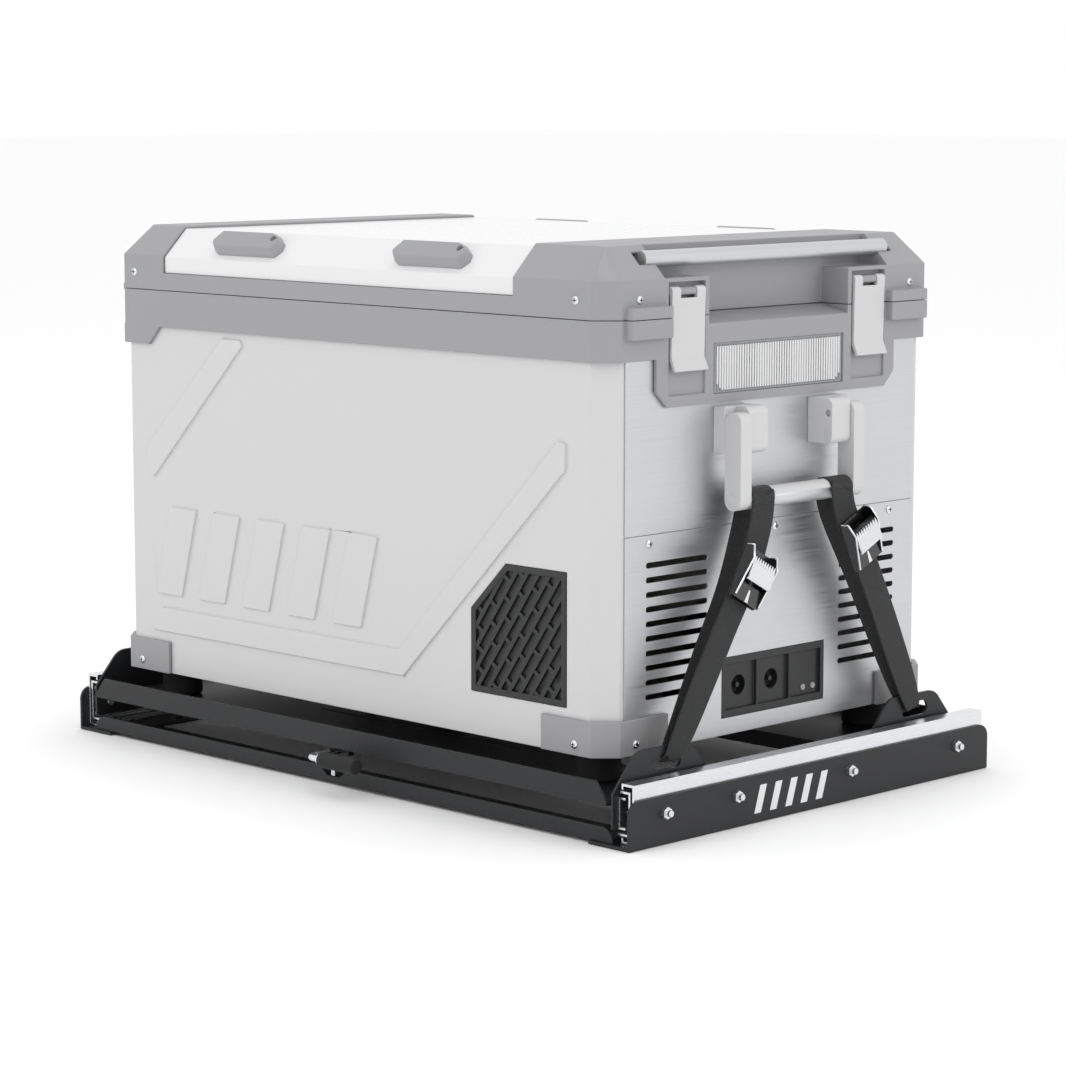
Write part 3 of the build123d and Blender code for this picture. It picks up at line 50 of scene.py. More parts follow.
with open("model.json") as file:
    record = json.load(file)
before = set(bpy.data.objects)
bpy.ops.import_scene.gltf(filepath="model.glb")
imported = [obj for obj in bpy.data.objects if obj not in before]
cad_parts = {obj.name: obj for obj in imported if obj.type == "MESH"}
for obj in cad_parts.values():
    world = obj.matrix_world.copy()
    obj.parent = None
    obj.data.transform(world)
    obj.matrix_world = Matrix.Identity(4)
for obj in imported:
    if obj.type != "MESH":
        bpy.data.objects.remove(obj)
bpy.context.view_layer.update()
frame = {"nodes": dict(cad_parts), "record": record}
NODES = frame["nodes"]
MM = 0.001

# the pieces of each group that the operators dress, with the edge rounding each gets in mm
SLIDE_EDGES = {
    "left_side_bracket": 0.5, "right_side_bracket": 0.5, "front_cross_rail": 0.4, "rear_cross_rail": 0.4,
    "left_outer_rail": 0.3, "right_outer_rail": 0.3, "left_middle_rail": 0.3, "right_middle_rail": 0.3,
    "left_inner_rail": 0.3, "right_inner_rail": 0.3, "front_tray_plate": 0.0, "rear_tray_plate": 0.0,
    "left_front_ear": 0.0, "right_front_ear": 0.0, "left_rear_ear": 0.0, "right_rear_ear": 0.0,
    "base_fasteners": 0.3, "tray_screws": 0.3, "rod_bearings": 0.5, "lock_rod": 0.0, "lock_grip": 0.6,
    "outer_ball_cages": 0.0, "inner_ball_cages": 0.0,
}
CABINET_EDGES = {
    "cabinet_shell": 0.9, "upper_end_plate": 0.3, "lower_end_plate": 0.3, "foam_insulation": 0.0,
    "inner_liner": 1.0, "evaporator": 0.0, "top_trim": 0.8, "light_lens": 0.4, "corner_guards": 0.8,
    "rubber_feet": 0.8, "intake_grille": 0.5, "compressor": 1.0, "condenser": 0.0, "fan_frame": 0.5,
    "fan_rotor": 0.3, "power_panel": 0.5, "power_button": 0.4, "set_button": 0.4, "basket": 0.0,
    "case_screws": 0.2, "handle_brackets": 0.8, "hinge_pins": 0.2,
}
LID_EDGES = {
    "lid_frame": 0.9, "lid_panel": 0.9, "lid_foam": 0.0, "lid_liner": 1.0, "lid_gasket": 0.4,
    "lid_grab_bar": 0.0, "anchor_pods": 1.0,
}
HANDLE_EDGES = {
    "front_latch": 0.5, "rear_latch": 0.5, "right_drop_handle": 0.0, "left_drop_handle": 0.0,
    "cam_buckles": 0.0,
}


def hex_colour(text):
    """An sRGB hex colour as the linear colour that a shader takes, fully opaque."""
    channels = [int(text[i:i + 2], 16) / 255 for i in (1, 3, 5)]
    linear = [c / 12.92 if c <= 0.04045 else ((c + 0.055) / 1.055) ** 2.4 for c in channels]
    return (*linear, 1.0)


def size_prop(name, description, default_mm, top_mm=100.0):
    """A length property that is shown in scene units and given here in millimetres."""
    return bpy.props.FloatProperty(
        name=name, description=description, default=default_mm * MM, min=0.0, max=top_mm * MM,
        precision=5, subtype="DISTANCE", unit="LENGTH",
    )


def colour_prop(name, description, text):
    """A colour property that starts from an sRGB hex value."""
    return bpy.props.FloatVectorProperty(
        name=name, description=description, default=hex_colour(text), size=4, min=0.0, max=1.0,
        subtype="COLOR",
    )


class CoolerSizes(bpy.types.PropertyGroup):
    """Sizes of the pieces that are made here."""

    strap_width: size_prop("Strap width", "Width of the flat webbing", 30.0)
    strap_thick: size_prop("Strap thickness", "Thickness of the flat webbing", 1.6, 5.0)
    weave_pitch: size_prop("Weave pitch", "Distance between two cross ribs of the webbing", 1.8, 6.0)
    foot_width: size_prop(
        "Strap foot width", "Width of the webbing where it bunches in the tray's slot", 21.0)
    sleeve_proud: size_prop(
        "Sleeve height", "How far the metal sleeve stands off the handle's bar", 0.06, 1.0)
    grille_pitch: size_prop(
        "Grille pitch", "Distance between two slanted bars of the intake grille", 11.0, 40.0)
    grille_bar: size_prop("Grille bar", "Width of a slanted bar of the intake grille", 4.2, 20.0)
    flute_pitch: size_prop("Flute pitch", "Distance between two flutes of the lamp's cover", 3.4, 20.0)


class CoolerColours(bpy.types.PropertyGroup):
    """Colours of the finishes."""

    steel_coat: colour_prop("Slide coat", "Powder coat of the slide", "#222325")
    cabinet_coat: colour_prop("Cabinet coat", "Powder coat of the cabinet", "#C9C9CA")
    trim: colour_prop("Trim", "Moulded plastic of the collar and the lid's frame", "#969698")
    latch: colour_prop("Latches", "Moulded plastic of the latches and handle arms", "#C8C8C9")
    lid: colour_prop("Lid", "Moulded plastic of the lid's panel and of the liner", "#DFDFE0")
    webbing: colour_prop("Webbing", "Woven polyester of the straps", "#17181A")


# ---------------------------------------------------------------- materials

def add_node(tree, kind, settings=(), sockets=()):
    """Adds one node, sets its properties, and fills or links its sockets."""
    made = tree.nodes.new(kind)
    for name, value in dict(settings).items():
        setattr(made, name, value)
    for name, value in dict(sockets).items():
        if isinstance(value, bpy.types.Node):
            value = next(out for out in value.outputs if out.enabled)
        if isinstance(value, bpy.types.NodeSocket):
            tree.links.new(value, made.inputs[name])
        else:
            made.inputs[name].default_value = value
    return made


def darker(colour, share):
    """The same colour with its light scaled by share."""
    return (colour[0] * share, colour[1] * share, colour[2] * share, 1.0)


def grained(name, colour, shader, grain_mm, relief_mm, gloss, run=(1.0, 1.0, 1.0), drift=0.93):
    """A solid finish: a fine grain for relief and gloss, and a slow drift of the colour.

    grain_mm is the size of one grain and run stretches it along each axis; gloss is the least
    and the greatest roughness.
    """
    material = bpy.data.materials.new(name)
    material.use_nodes = True
    tree = material.node_tree
    tree.nodes.clear()
    place = add_node(tree, "ShaderNodeTexCoord")
    scale = [1.0 / (grain_mm * MM * stretch) for stretch in run]
    fine = add_node(tree, "ShaderNodeMapping", {}, {"Vector": place.outputs["Object"], "Scale": scale})
    grain = add_node(tree, "ShaderNodeTexNoise", {}, {
        "Vector": fine, "Scale": 1.0, "Detail": 3.0, "Roughness": 0.6,
    })
    patches = add_node(tree, "ShaderNodeTexNoise", {}, {
        "Vector": place.outputs["Object"], "Scale": 14.0, "Detail": 2.0,
    })
    blend = add_node(tree, "ShaderNodeMix", {"data_type": "RGBA"}, {
        0: patches.outputs["Fac"], 6: darker(colour, drift), 7: colour,
    })
    paint = blend.outputs[2]
    rough = add_node(tree, "ShaderNodeMapRange", {}, {
        "Value": grain.outputs["Fac"], "From Min": 0.3, "From Max": 0.7, "To Min": gloss[0], "To Max": gloss[1],
    })
    relief = add_node(tree, "ShaderNodeBump", {}, {
        "Height": grain.outputs["Fac"], "Distance": relief_mm * MM, "Strength": 1.0,
    })
    values = {"Base Color": paint, "Roughness": rough.outputs["Result"], "Normal": relief}
    values.update(shader)
    made = add_node(tree, "ShaderNodeBsdfPrincipled", {}, values)
    add_node(tree, "ShaderNodeOutputMaterial", {}, {"Surface": made.outputs["BSDF"]})
    return material


def woven_polyester(colour):
    """Polyester webbing, woven flat on a narrow loom: cross ribs and warp ends that catch a dull light, with
    painted shade in the rib troughs and a painted highlight on the rib crests.
    """
    material = bpy.data.materials.new("woven_polyester_webbing")
    material.use_nodes = True
    tree = material.node_tree
    tree.nodes.clear()
    cloth = add_node(tree, "ShaderNodeUVMap", {"uv_map": "cloth"})
    one_rib = math.tau / 20
    ribs = add_node(tree, "ShaderNodeTexWave", {"bands_direction": "Y"}, {
        "Vector": cloth, "Scale": one_rib, "Distortion": 0.4, "Detail": 1.0,
    })
    ends = add_node(tree, "ShaderNodeTexWave", {"bands_direction": "X"}, {
        "Vector": cloth, "Scale": one_rib * 1.5, "Distortion": 0.3, "Detail": 1.0,
    })
    weave = add_node(tree, "ShaderNodeMath", {"operation": "MULTIPLY_ADD"}, {
        0: ends.outputs["Fac"], 1: 0.35, 2: ribs.outputs["Fac"],
    })
    # painted shade and highlight: the colour runs from dark in the rib troughs to light on the rib crests,
    # following the weave's relief
    rib_shade_and_highlight = add_node(tree, "ShaderNodeMix", {"data_type": "RGBA"}, {
        0: ribs.outputs["Fac"], 6: darker(colour, 0.45), 7: darker(colour, 1.35),
    })
    relief = add_node(tree, "ShaderNodeBump", {}, {"Height": weave, "Distance": 0.35 * MM, "Strength": 1.0})
    made = add_node(tree, "ShaderNodeBsdfPrincipled", {}, {
        "Base Color": rib_shade_and_highlight.outputs[2], "Roughness": 0.72, "IOR": 1.52, "Normal": relief,
        "Sheen Weight": 0.15, "Sheen Roughness": 0.4,
    })
    add_node(tree, "ShaderNodeOutputMaterial", {}, {"Surface": made.outputs["BSDF"]})
    return material


def make_finishes(colours):
    """Every material by the name of its slot in the record."""
    metal = {"Metallic": 1.0}
    plastic = {"IOR": 1.53}
    return {
        # polyester powder sprayed and baked: satin, with the low orange peel of a thick coat
        "black_powder_coat": grained(
            "baked_powder_coat_black", colours.steel_coat, {"IOR": 1.5, "Specular IOR Level": 0.35},
            1.5, 0.03, (0.36, 0.48)),
        # zinc plated from a bright bath on rolled strip: silvery, with faint lines along the strip
        "zinc_steel": grained(
            "bright_zinc_plate", hex_colour("#E2E4E6"), metal, 1.2, 0.003, (0.2, 0.32), run=(1, 30, 1)),
        # injection moulded nylon: dull, slightly waxy
        "black_nylon": grained("moulded_nylon", hex_colour("#131415"), plastic, 0.7, 0.02, (0.42, 0.55)),
        # moulded EPDM rubber: matt and faintly dusty
        "black_rubber": grained(
            "moulded_rubber", hex_colour("#18191A"), {"IOR": 1.5}, 0.6, 0.04, (0.68, 0.82)),
        # polyester powder on steel sheet: near white, with fine orange peel
        "white_powder_coat": grained(
            "baked_powder_coat_pale", colours.cabinet_coat,
            {"IOR": 1.5, "Coat Weight": 0.15, "Coat Roughness": 0.25},
            1.6, 0.02, (0.34, 0.42), drift=0.985),
        # ABS from a spark-eroded mould: an even fine grain that kills the gloss
        "grey_plastic": grained(
            "moulded_abs_grey", colours.trim, plastic, 0.9, 0.035, (0.44, 0.56), drift=0.97),
        "light_grey_plastic": grained(
            "moulded_abs_pale", colours.latch, plastic, 0.9, 0.02, (0.36, 0.46), drift=0.98),
        # ABS from a polished mould: smooth with a soft gloss
        "white_plastic": grained(
            "polished_abs_white", colours.lid, plastic, 4.0, 0.01, (0.18, 0.26), drift=0.985),
        # polycarbonate from a polished mould over a white reflector: milky and bright
        "clear_plastic": grained(
            "clear_polycarbonate", hex_colour("#B4B6B8"), {"IOR": 1.585, "Transmission Weight": 0.35},
            5.0, 0.01, (0.1, 0.16), drift=0.99),
        # aluminium sheet brushed across the end: long scratches, drawn coarser than the real 0.1 mm
        "brushed_aluminium": grained(
            "brushed_aluminium", hex_colour("#CDCED0"), metal, 0.7, 0.03, (0.34, 0.56),
            run=(1, 160, 1), drift=0.95),
        # foamed polyurethane: grey, with open cut cells
        "foam": grained("polyurethane_foam", hex_colour("#A9A8A2"), {"IOR": 1.4}, 1.2, 0.4, (0.8, 0.95)),
        "black_webbing": woven_polyester(colours.webbing),
        # nickel and chromium plate on polished steel: mirror bright
        "chrome": grained(
            "polished_chrome_plate", hex_colour("#E4E6E8"), metal, 6.0, 0.004, (0.08, 0.16), drift=0.99),
        # glass-filled ABS: almost black, with a fine dull grain
        "dark_plastic": grained("moulded_abs_dark", hex_colour("#1C1D1E"), plastic, 0.8, 0.03, (0.4, 0.52)),
        # stoved enamel on the compressor's shell: deep black and glossy
        "black_enamel": grained(
            "stoved_enamel", hex_colour("#0F0F10"), {"IOR": 1.5, "Coat Weight": 0.5}, 5.0, 0.02, (0.2, 0.3)),
        # embossed aluminium sheet of the evaporator: dull silver with a pebbled relief
        "evaporator_sheet": grained(
            "embossed_aluminium", hex_colour("#D9DBDC"), metal, 3.0, 0.3, (0.3, 0.45)),
    }


FINISHES = {}


def finish(slot):
    """The material of that slot, made once."""
    if not FINISHES:
        FINISHES.update(make_finishes(bpy.context.scene.cooler_colours))
    return FINISHES[slot]


# ---------------------------------------------------------------- mesh tools

def new_piece(name, shape, slot, body, round_mm=0.0, smooth=True):
    """Turns a bmesh into an object that has a finish, rounded edges and the CAD body it rides on."""
    bmesh.ops.recalc_face_normals(shape, faces=shape.faces)
    mesh = bpy.data.meshes.new(name)
    shape.to_mesh(mesh)
    shape.free()
    piece = bpy.data.objects.new(name, mesh)
    bpy.context.scene.collection.objects.link(piece)
    mesh.materials.append(finish(slot))
    soften(piece, round_mm, smooth)
    if body:
        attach(piece, body)
    return piece


def soften(piece, round_mm, smooth=True):
    """Rounds the sharp edges of a piece by that many millimetres, and evens its shading."""
    for face in piece.data.polygons:
        face.use_smooth = smooth
    if round_mm > 0:
        bevel = piece.modifiers.new("rounded_edges", "BEVEL")
        bevel.width = round_mm * MM
        bevel.segments = 2
        bevel.limit_method = "ANGLE"
        bevel.angle_limit = math.radians(35)
        bevel.use_clamp_overlap = False
        bevel.harden_normals = True
    if smooth:
        weighted = piece.modifiers.new("even_shading", "WEIGHTED_NORMAL")
        weighted.keep_sharp = True
        weighted.weight = 90


def dress(edges):
    """Gives each named CAD piece the finish that the record names, and rounds its edges."""
    slots = {part["node"]: part["material_slot"] for part in frame["record"]["subparts"]}
    for name, round_mm in edges.items():
        piece = NODES[name]
        piece.data.materials.clear()
        piece.data.materials.append(finish(slots[name]))
        if round_mm == 0:
            continue
        weld = piece.modifiers.new("joined_edges", "WELD")
        weld.merge_threshold = 0.002 * MM
        flat = piece.modifiers.new("whole_faces", "DECIMATE")
        flat.decimate_type = "DISSOLVE"
        flat.angle_limit = math.radians(0.6)
        soften(piece, round_mm)


def add_box(shape, low, high, turn=None):
    """Adds a box between two corners, turned by a matrix about its middle where one is given."""
    low, high = Vector(low), Vector(high)
    size = Matrix.Diagonal((high - low).to_4d())
    place = Matrix.Translation((low + high) / 2) @ (turn or Matrix.Identity(4)) @ size
    place[3][3] = 1.0
    return bmesh.ops.create_cube(shape, size=1.0, matrix=place)["verts"]


def add_rod(shape, start, end, radius, top_radius=None, sides=32):
    """Adds a round rod between two points."""
    start, end = Vector(start), Vector(end)
    turn = (end - start).to_track_quat("Z", "Y").to_matrix().to_4x4()
    bmesh.ops.create_cone(
        shape, cap_ends=True, segments=sides, radius1=radius,
        radius2=radius if top_radius is None else top_radius, depth=(end - start).length,
        matrix=Matrix.Translation((start + end) / 2) @ turn,
    )


def add_prism(shape, outline, low, high, axis):
    """Adds a prism: outline points lie across the named axis, and it runs from low to high along it."""
    def at(point, along):
        place = [point[0], point[1]]
        place.insert("xyz".index(axis), along)
        return Vector(place)
    rings = [[shape.verts.new(at(point, along)) for point in outline] for along in (low, high)]
    count = len(outline)
    for i in range(count):
        j = (i + 1) % count
        shape.faces.new((rings[0][i], rings[0][j], rings[1][j], rings[1][i]))
    shape.faces.new(rings[0])
    shape.faces.new(rings[1])


def smooth_path(stations, steps):
    """Points on a smooth curve through the stations; each station is a tuple of numbers."""
    path = []
    padded = [stations[0]] + list(stations) + [stations[-1]]
    for i in range(1, len(padded) - 2):
        p0, p1, p2, p3 = padded[i - 1:i + 3]
        for step in range(steps):
            t = step / steps
            path.append(tuple(
                0.5 * (
                    2 * b + (c - a) * t + (2 * a - 5 * b + 4 * c - d) * t * t
                    + (3 * b - a - 3 * c + d) * t ** 3
                )
                for a, b, c, d in zip(p0, p1, p2, p3)
            ))
    path.append(tuple(stations[-1]))
    return path


def webbing(stations, sizes, steps=6):
    """A flat strap along the stations: x, y, z, width and the lean of its width, in mm and degrees.

    The strap's section is flat with round selvages, and its cloth map counts woven ribs.
    """
    path = smooth_path(stations, steps)
    shape = bmesh.new()
    cloth = shape.loops.layers.uv.new("cloth")
    half = sizes.strap_thick / 2
    face = [
        (-1.0, 0.0), (-0.97, 0.8), (-0.9, 1.0), (-0.45, 1.0), (0.0, 1.0), (0.45, 1.0), (0.9, 1.0), (0.97, 0.8),
    ]
    section = face + [(-u, -v) for u, v in face]
    rings, runs = [], []
    run = 0.0
    for i, (x, y, z, width, lean) in enumerate(path):
        here = Vector((x, y, z)) * MM
        before = Vector(path[max(i - 1, 0)][:3]) * MM
        after = Vector(path[min(i + 1, len(path) - 1)][:3]) * MM
        run += (here - before).length
        across = Vector((0.0, math.cos(math.radians(lean)), math.sin(math.radians(lean))))
        along = (after - before).normalized()
        across = (across - along * across.dot(along)).normalized()
        out = along.cross(across)
        rings.append([
            shape.verts.new(here + across * (u * width * MM / 2) + out * (v * half)) for u, v in section
        ])
        runs.append((run / sizes.weave_pitch, width * MM / sizes.weave_pitch / 2))
    count = len(section)
    for i in range(len(rings) - 1):
        for j in range(count):
            k = (j + 1) % count
            patch = shape.faces.new((rings[i][j], rings[i][k], rings[i + 1][k], rings[i + 1][j]))
            for loop, (ring, corner) in zip(patch.loops, ((i, j), (i, k), (i + 1, k), (i + 1, j))):
                loop[cloth].uv = (section[corner][0] * runs[ring][1], runs[ring][0])
    shape.faces.new(rings[0])
    shape.faces.new(rings[-1])
    return shape


def buckle_place(side):
    """Where that side's cam buckle lies: x across the strap, y up the strap and z out of the cabinet."""
    mesh = NODES["cam_buckles"].data
    flat = max((f for f in mesh.polygons if f.center.y * side > 0 and f.normal.x > 0.5), key=lambda f: f.area)
    corners = [mesh.vertices[i].co for i in flat.vertices]
    sides = sorted(zip(corners, corners[1:] + corners[:1]), key=lambda pair: (pair[0] - pair[1]).length)
    upright, diagonal = sides[1], sides[2]
    up = (upright[0] - upright[1]).normalized()
    up = up if up.z > 0 else -up
    out = Vector(flat.normal)
    across = up.cross(out)
    middle = (diagonal[0] + diagonal[1]) / 2 + up * BUCKLE_SHIFT * MM - out * BUCKLE_SHEET * MM
    place = Matrix((across, up, out)).transposed().to_4x4()
    return Matrix.Translation(middle) @ place


def loose_boxes(node):
    """The lowest and highest corner of every separate body in one CAD piece."""
    shape = bmesh.new()
    shape.from_mesh(NODES[node].data)
    bmesh.ops.remove_doubles(shape, verts=shape.verts, dist=0.002 * MM)
    left = set(shape.verts)
    boxes = []
    while left:
        reached, queue = set(), [left.pop()]
        while queue:
            vert = queue.pop()
            reached.add(vert)
            near = {edge.other_vert(vert) for edge in vert.link_edges} & left
            left -= near
            queue.extend(near)
        low = Vector([min(v.co[k] for v in reached) for k in range(3)])
        high = Vector([max(v.co[k] for v in reached) for k in range(3)])
        boxes.append((low, high))
    shape.free()
    return sorted(boxes, key=lambda pair: tuple(pair[0]))


# the base plate's middle lies this far below the buckle's own middle, and this is its sheet, in mm
BUCKLE_SHIFT = 1.0
BUCKLE_SHEET = 1.2
# outer edge of a buckle's side plate, up the strap and out of it, how far across, and its radius, in mm
BUCKLE_EDGE = ((-23.0, 7.0), (12.0, 14.0), (24.0, 9.0), (24.0, 1.0))
BUCKLE_FLANK = 17.25
BUCKLE_EDGE_R = 0.95
# the cam: its drum across, up and out, the drum's radius, and the half width of its plate, in mm
CAM_DRUM = (16.1, 12.0, 9.0)
CAM_DRUM_R = 3.9
CAM_HALF = 15.8
CAM_TEETH = 9
# the cam plate's section as up and out, one tooth's outline as across and up, and from and to out, in mm
CAM_PLATE = ((9.0, 13.6), (-5.2, 14.7), (-7.6, 13.2), (-7.6, 11.6), (-5.2, 12.9), (9.0, 12.2))
CAM_TOOTH = ((-1.5, 8.8), (1.5, 8.8), (1.5, 11.0), (0.3, 14.6), (-0.3, 14.6), (-1.5, 11.0))
CAM_TOOTH_OUT = (12.5, 13.7)
# the tapered mark stamped on the buckle's lower tab, across and up, in mm
BUCKLE_MARK = ((-2.3, -25.0), (2.3, -25.0), (1.0, -13.5), (-1.0, -13.5))
BUCKLE_MARK_OUT = (5.9, 6.15)
# the drop handles' round bar, the half length of its sleeve and the radii of a cap's two ends, in mm
HANDLE_BAR_R = 9.2
SLEEVE_HALF = 69.5
CAP_R = (5.6, 5.2)
# each strap: its side, its name, its middle along the bar and in the tray's slot, and how far along and
# how high its buckle's middle lies, in mm
STRAP_RUNS = (
    (-1, "front", 55.0, 174.0, (78.0, 219.0)),
    (1, "rear", 54.0, 159.0, (74.0, 238.0)),
)
# the tray's slots, out and up, in mm, and how far the straps' cloth leans, in degrees
SLOT_X = 361.2
SLOT_Z = 66.4
STRAP_LEAN = 27.0
# a cross-head screw's dome as radius and height, and its recess, drawn as a black cross of painted shade that
# stands through the dome's top, in mm
SCREW_DOME = ((3.9, 0.0), (3.9, 0.5), (3.4, 1.1), (2.3, 1.6), (1.0, 1.85))
SCREW_SIDES = 24
RECESS_LONG = 2.0
RECESS_WIDE = 0.45
RECESS_RANGE = (1.2, 1.95)
# the lid frame's side and end faces where the corner screws sit, in mm
LID_SIDE_Y = 225.4
LID_END_X = (332.7, -349.4)
# those screws: along the sides, across the ends, and up, in mm
LID_SCREW_X = (-314.6, 295.2)
LID_SCREW_Y = 184.6
LID_SCREW_Z = 466.5
# the intake grille: plate, cut corner and rim, in mm, and the slant of its bars, in degrees
GRILLE_THICK = 3.0
GRILLE_CUT = 44.0
GRILLE_RIM = 6.0
GRILLE_SLANT = 55.0
# the printed bars on the right bracket: from and to along, from and to up, their lean, in mm, and count
BARS_ALONG = (-88.5, 16.7)
BARS_UP = (8.4, 33.4)
BARS_LEAN = 8.0
BARS_COUNT = 5
# the lamps: name, place and size in metres, and power in watts
LIGHTS = (
    ("key_light", (-0.6, -3.0, 2.6), 1.6, 18),
    ("side_light", (3.2, 0.8, 1.6), 1.4, 12),
    ("top_light", (0.2, 0.4, 3.2), 1.8, 10),
)
# the camera: where it aims and how far it stands in metres, its two angles in degrees, its lens in mm
CAMERA_AIM = (-0.12196, 0.13923, 0.18880)
CAMERA_FAR = 3.40093
CAMERA_AROUND = 45.061
CAMERA_ABOVE = 7.826
CAMERA_LENS = 110.7


# ---------------------------------------------------------------- the operators

class COOLER_OT_slide(bpy.types.Operator):
    """Finishes the slide: brackets, cross rails, telescopic rails, tray, ears and lock rod"""

    bl_idname = "cooler.slide"
    bl_label = "Slide"

    def execute(self, context):
        dress(SLIDE_EDGES)
        return {"FINISHED"}


class COOLER_OT_cabinet(bpy.types.Operator):
    """Finishes the cabinet: shell, end plates, collar, liner, cooling unit, sockets and basket"""

    bl_idname = "cooler.cabinet"
    bl_label = "Cabinet"

    def execute(self, context):
        dress(CABINET_EDGES)
        return {"FINISHED"}


class COOLER_OT_lid(bpy.types.Operator):
    """Finishes the lid: frame, panel, liner, gasket, grab bar and tie-down pods"""

    bl_idname = "cooler.lid"
    bl_label = "Lid"

    def execute(self, context):
        dress(LID_EDGES)
        return {"FINISHED"}


class COOLER_OT_handles(bpy.types.Operator):
    """Finishes the latches and drop handles, and adds the metal sleeves and the round caps of the arms"""

    bl_idname = "cooler.handles"
    bl_label = "Latches and handles"

    def execute(self, context):
        sizes = context.scene.cooler_sizes
        dress(HANDLE_EDGES)
        for node, body in (("right_drop_handle", "handle_right"), ("left_drop_handle", "handle_left")):
            low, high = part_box(node)
            middle = (low.x + high.x) / 2
            bar_r = HANDLE_BAR_R * MM
            bar_z = low.z + bar_r
            half = SLEEVE_HALF * MM
            shape = bmesh.new()
            ends = (middle, -half, bar_z), (middle, half, bar_z)
            add_rod(shape, *ends, bar_r + sizes.sleeve_proud, sides=48)
            new_piece(f"{body}_sleeve", shape, "brushed_aluminium", body)
            for end in (-1, 1):
                face = high.y if end > 0 else low.y
                shape = bmesh.new()
                add_rod(
                    shape, (middle, face - end * 1.0 * MM, bar_z), (middle, face + end * 0.5 * MM, bar_z),
                    CAP_R[0] * MM, CAP_R[1] * MM,
                )
                name = f"{body}_cap_{'rear' if end > 0 else 'front'}"
                new_piece(name, shape, "light_grey_plastic", body, round_mm=0.2)
        return {"FINISHED"}


class COOLER_OT_straps(bpy.types.Operator):
    """Weaves the two tie-down straps over the handle's bar and down to the tray's slots"""

    bl_idname = "cooler.straps"
    bl_label = "Tie-down straps"

    def execute(self, context):
        sizes = context.scene.cooler_sizes
        low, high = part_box("right_drop_handle")
        bar_x = (low.x + high.x) / 2 / MM
        bar_z = low.z / MM + HANDLE_BAR_R
        wide = sizes.strap_width / MM
        foot = sizes.foot_width / MM
        reach = HANDLE_BAR_R + 0.15 + sizes.strap_thick / MM / 2
        for end, name, top_y, foot_y, buckle in STRAP_RUNS:
            lean = end * STRAP_LEAN
            foot_z = 66.0
            span = (foot_y - buckle[0]) / (buckle[1] - foot_z)
            stations = [
                (SLOT_X, end * foot_y, SLOT_Z, foot, lean * 0.3),
                (358.2, end * foot_y, 69.5, foot, lean * 0.7),
            ]
            for x, z, w in ((355.5, 100.0, 27.0), (352.0, 150.0, wide), (348.5, 205.0, wide)):
                y = foot_y - span * (z - foot_z)
                stations.append((x, end * y, z, w, lean * 0.8))
            stations.append((344.5, end * (top_y + 7), bar_z - 26, wide, lean * 0.4))
            for step in range(0, 9):
                turn = math.radians(190.0 - step * 25.0)
                x, z = bar_x + reach * math.cos(turn), bar_z + reach * math.sin(turn)
                stations.append((x, end * top_y, z, wide, 0.0))
            stations.append((363.4, end * (top_y + 5), bar_z - 24, wide, lean * 0.5))
            stations.append((364.2, end * buckle[0], buckle[1], wide, lean))
            for x, z, w in ((365.0, 175.0, wide), (365.2, 130.0, wide), (365.4, 92.0, 27.0)):
                y = foot_y - span * (z - foot_z)
                stations.append((x, end * (y + 2.0), z, w, lean))
            stations.append((364.6, end * foot_y, 70.5, foot, lean * 0.7))
            stations.append((SLOT_X, end * foot_y, SLOT_Z, foot, lean * 0.3))
            shape = webbing(stations, sizes)
            strap = new_piece(f"{name}_strap", shape, "black_webbing", None)
            if name == "front":
                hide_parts("tie_down_straps")
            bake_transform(strap)
        return {"FINISHED"}


class COOLER_OT_buckles(bpy.types.Operator):
    """Adds the bright edges, the serrated cam plate and the stamped mark of each cam buckle"""

    bl_idname = "cooler.buckles"
    bl_label = "Cam buckles"

    def execute(self, context):
        for side, name in ((-1, "front"), (1, "rear")):
            place = buckle_place(side)
            edges = bmesh.new()
            for flank in (-1, 1):
                for (y0, z0), (y1, z1) in zip(BUCKLE_EDGE, BUCKLE_EDGE[1:]):
                    low = Vector((flank * BUCKLE_FLANK, y0, z0)) * MM
                    high = Vector((flank * BUCKLE_FLANK, y1, z1)) * MM
                    add_rod(edges, place @ low, place @ high, BUCKLE_EDGE_R * MM, sides=12)
            new_piece(f"{name}_buckle_edges", edges, "chrome", "tray")
            drum = bmesh.new()
            half, up, out = CAM_DRUM
            add_rod(
                drum, place @ (Vector((-half, up, out)) * MM), place @ (Vector((half, up, out)) * MM),
                CAM_DRUM_R * MM,
            )
            drum_piece = new_piece(f"{name}_cam_drum", drum, "black_nylon", f"cam_{name}")
            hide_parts(f"{name}_cam_lever")
            plate = bmesh.new()
            add_prism(plate, [(y * MM, z * MM) for y, z in CAM_PLATE], -CAM_HALF * MM, CAM_HALF * MM, "x")
            pitch = 2 * CAM_HALF / CAM_TEETH
            for i in range(CAM_TEETH):
                x = -CAM_HALF + pitch * (i + 0.5)
                tooth = [((x + u) * MM, v * MM) for u, v in CAM_TOOTH]
                add_prism(plate, tooth, CAM_TOOTH_OUT[0] * MM, CAM_TOOTH_OUT[1] * MM, "z")
            bmesh.ops.transform(plate, matrix=place, verts=plate.verts)
            new_piece(f"{name}_cam_plate", plate, "zinc_steel", f"cam_{name}", round_mm=0.25)
            mark = bmesh.new()
            taper = [(x * MM, y * MM) for x, y in BUCKLE_MARK]
            add_prism(mark, taper, BUCKLE_MARK_OUT[0] * MM, BUCKLE_MARK_OUT[1] * MM, "z")
            bmesh.ops.transform(mark, matrix=place, verts=mark.verts)
            new_piece(f"{name}_buckle_mark", mark, "zinc_steel", "tray", smooth=False)
        return {"FINISHED"}


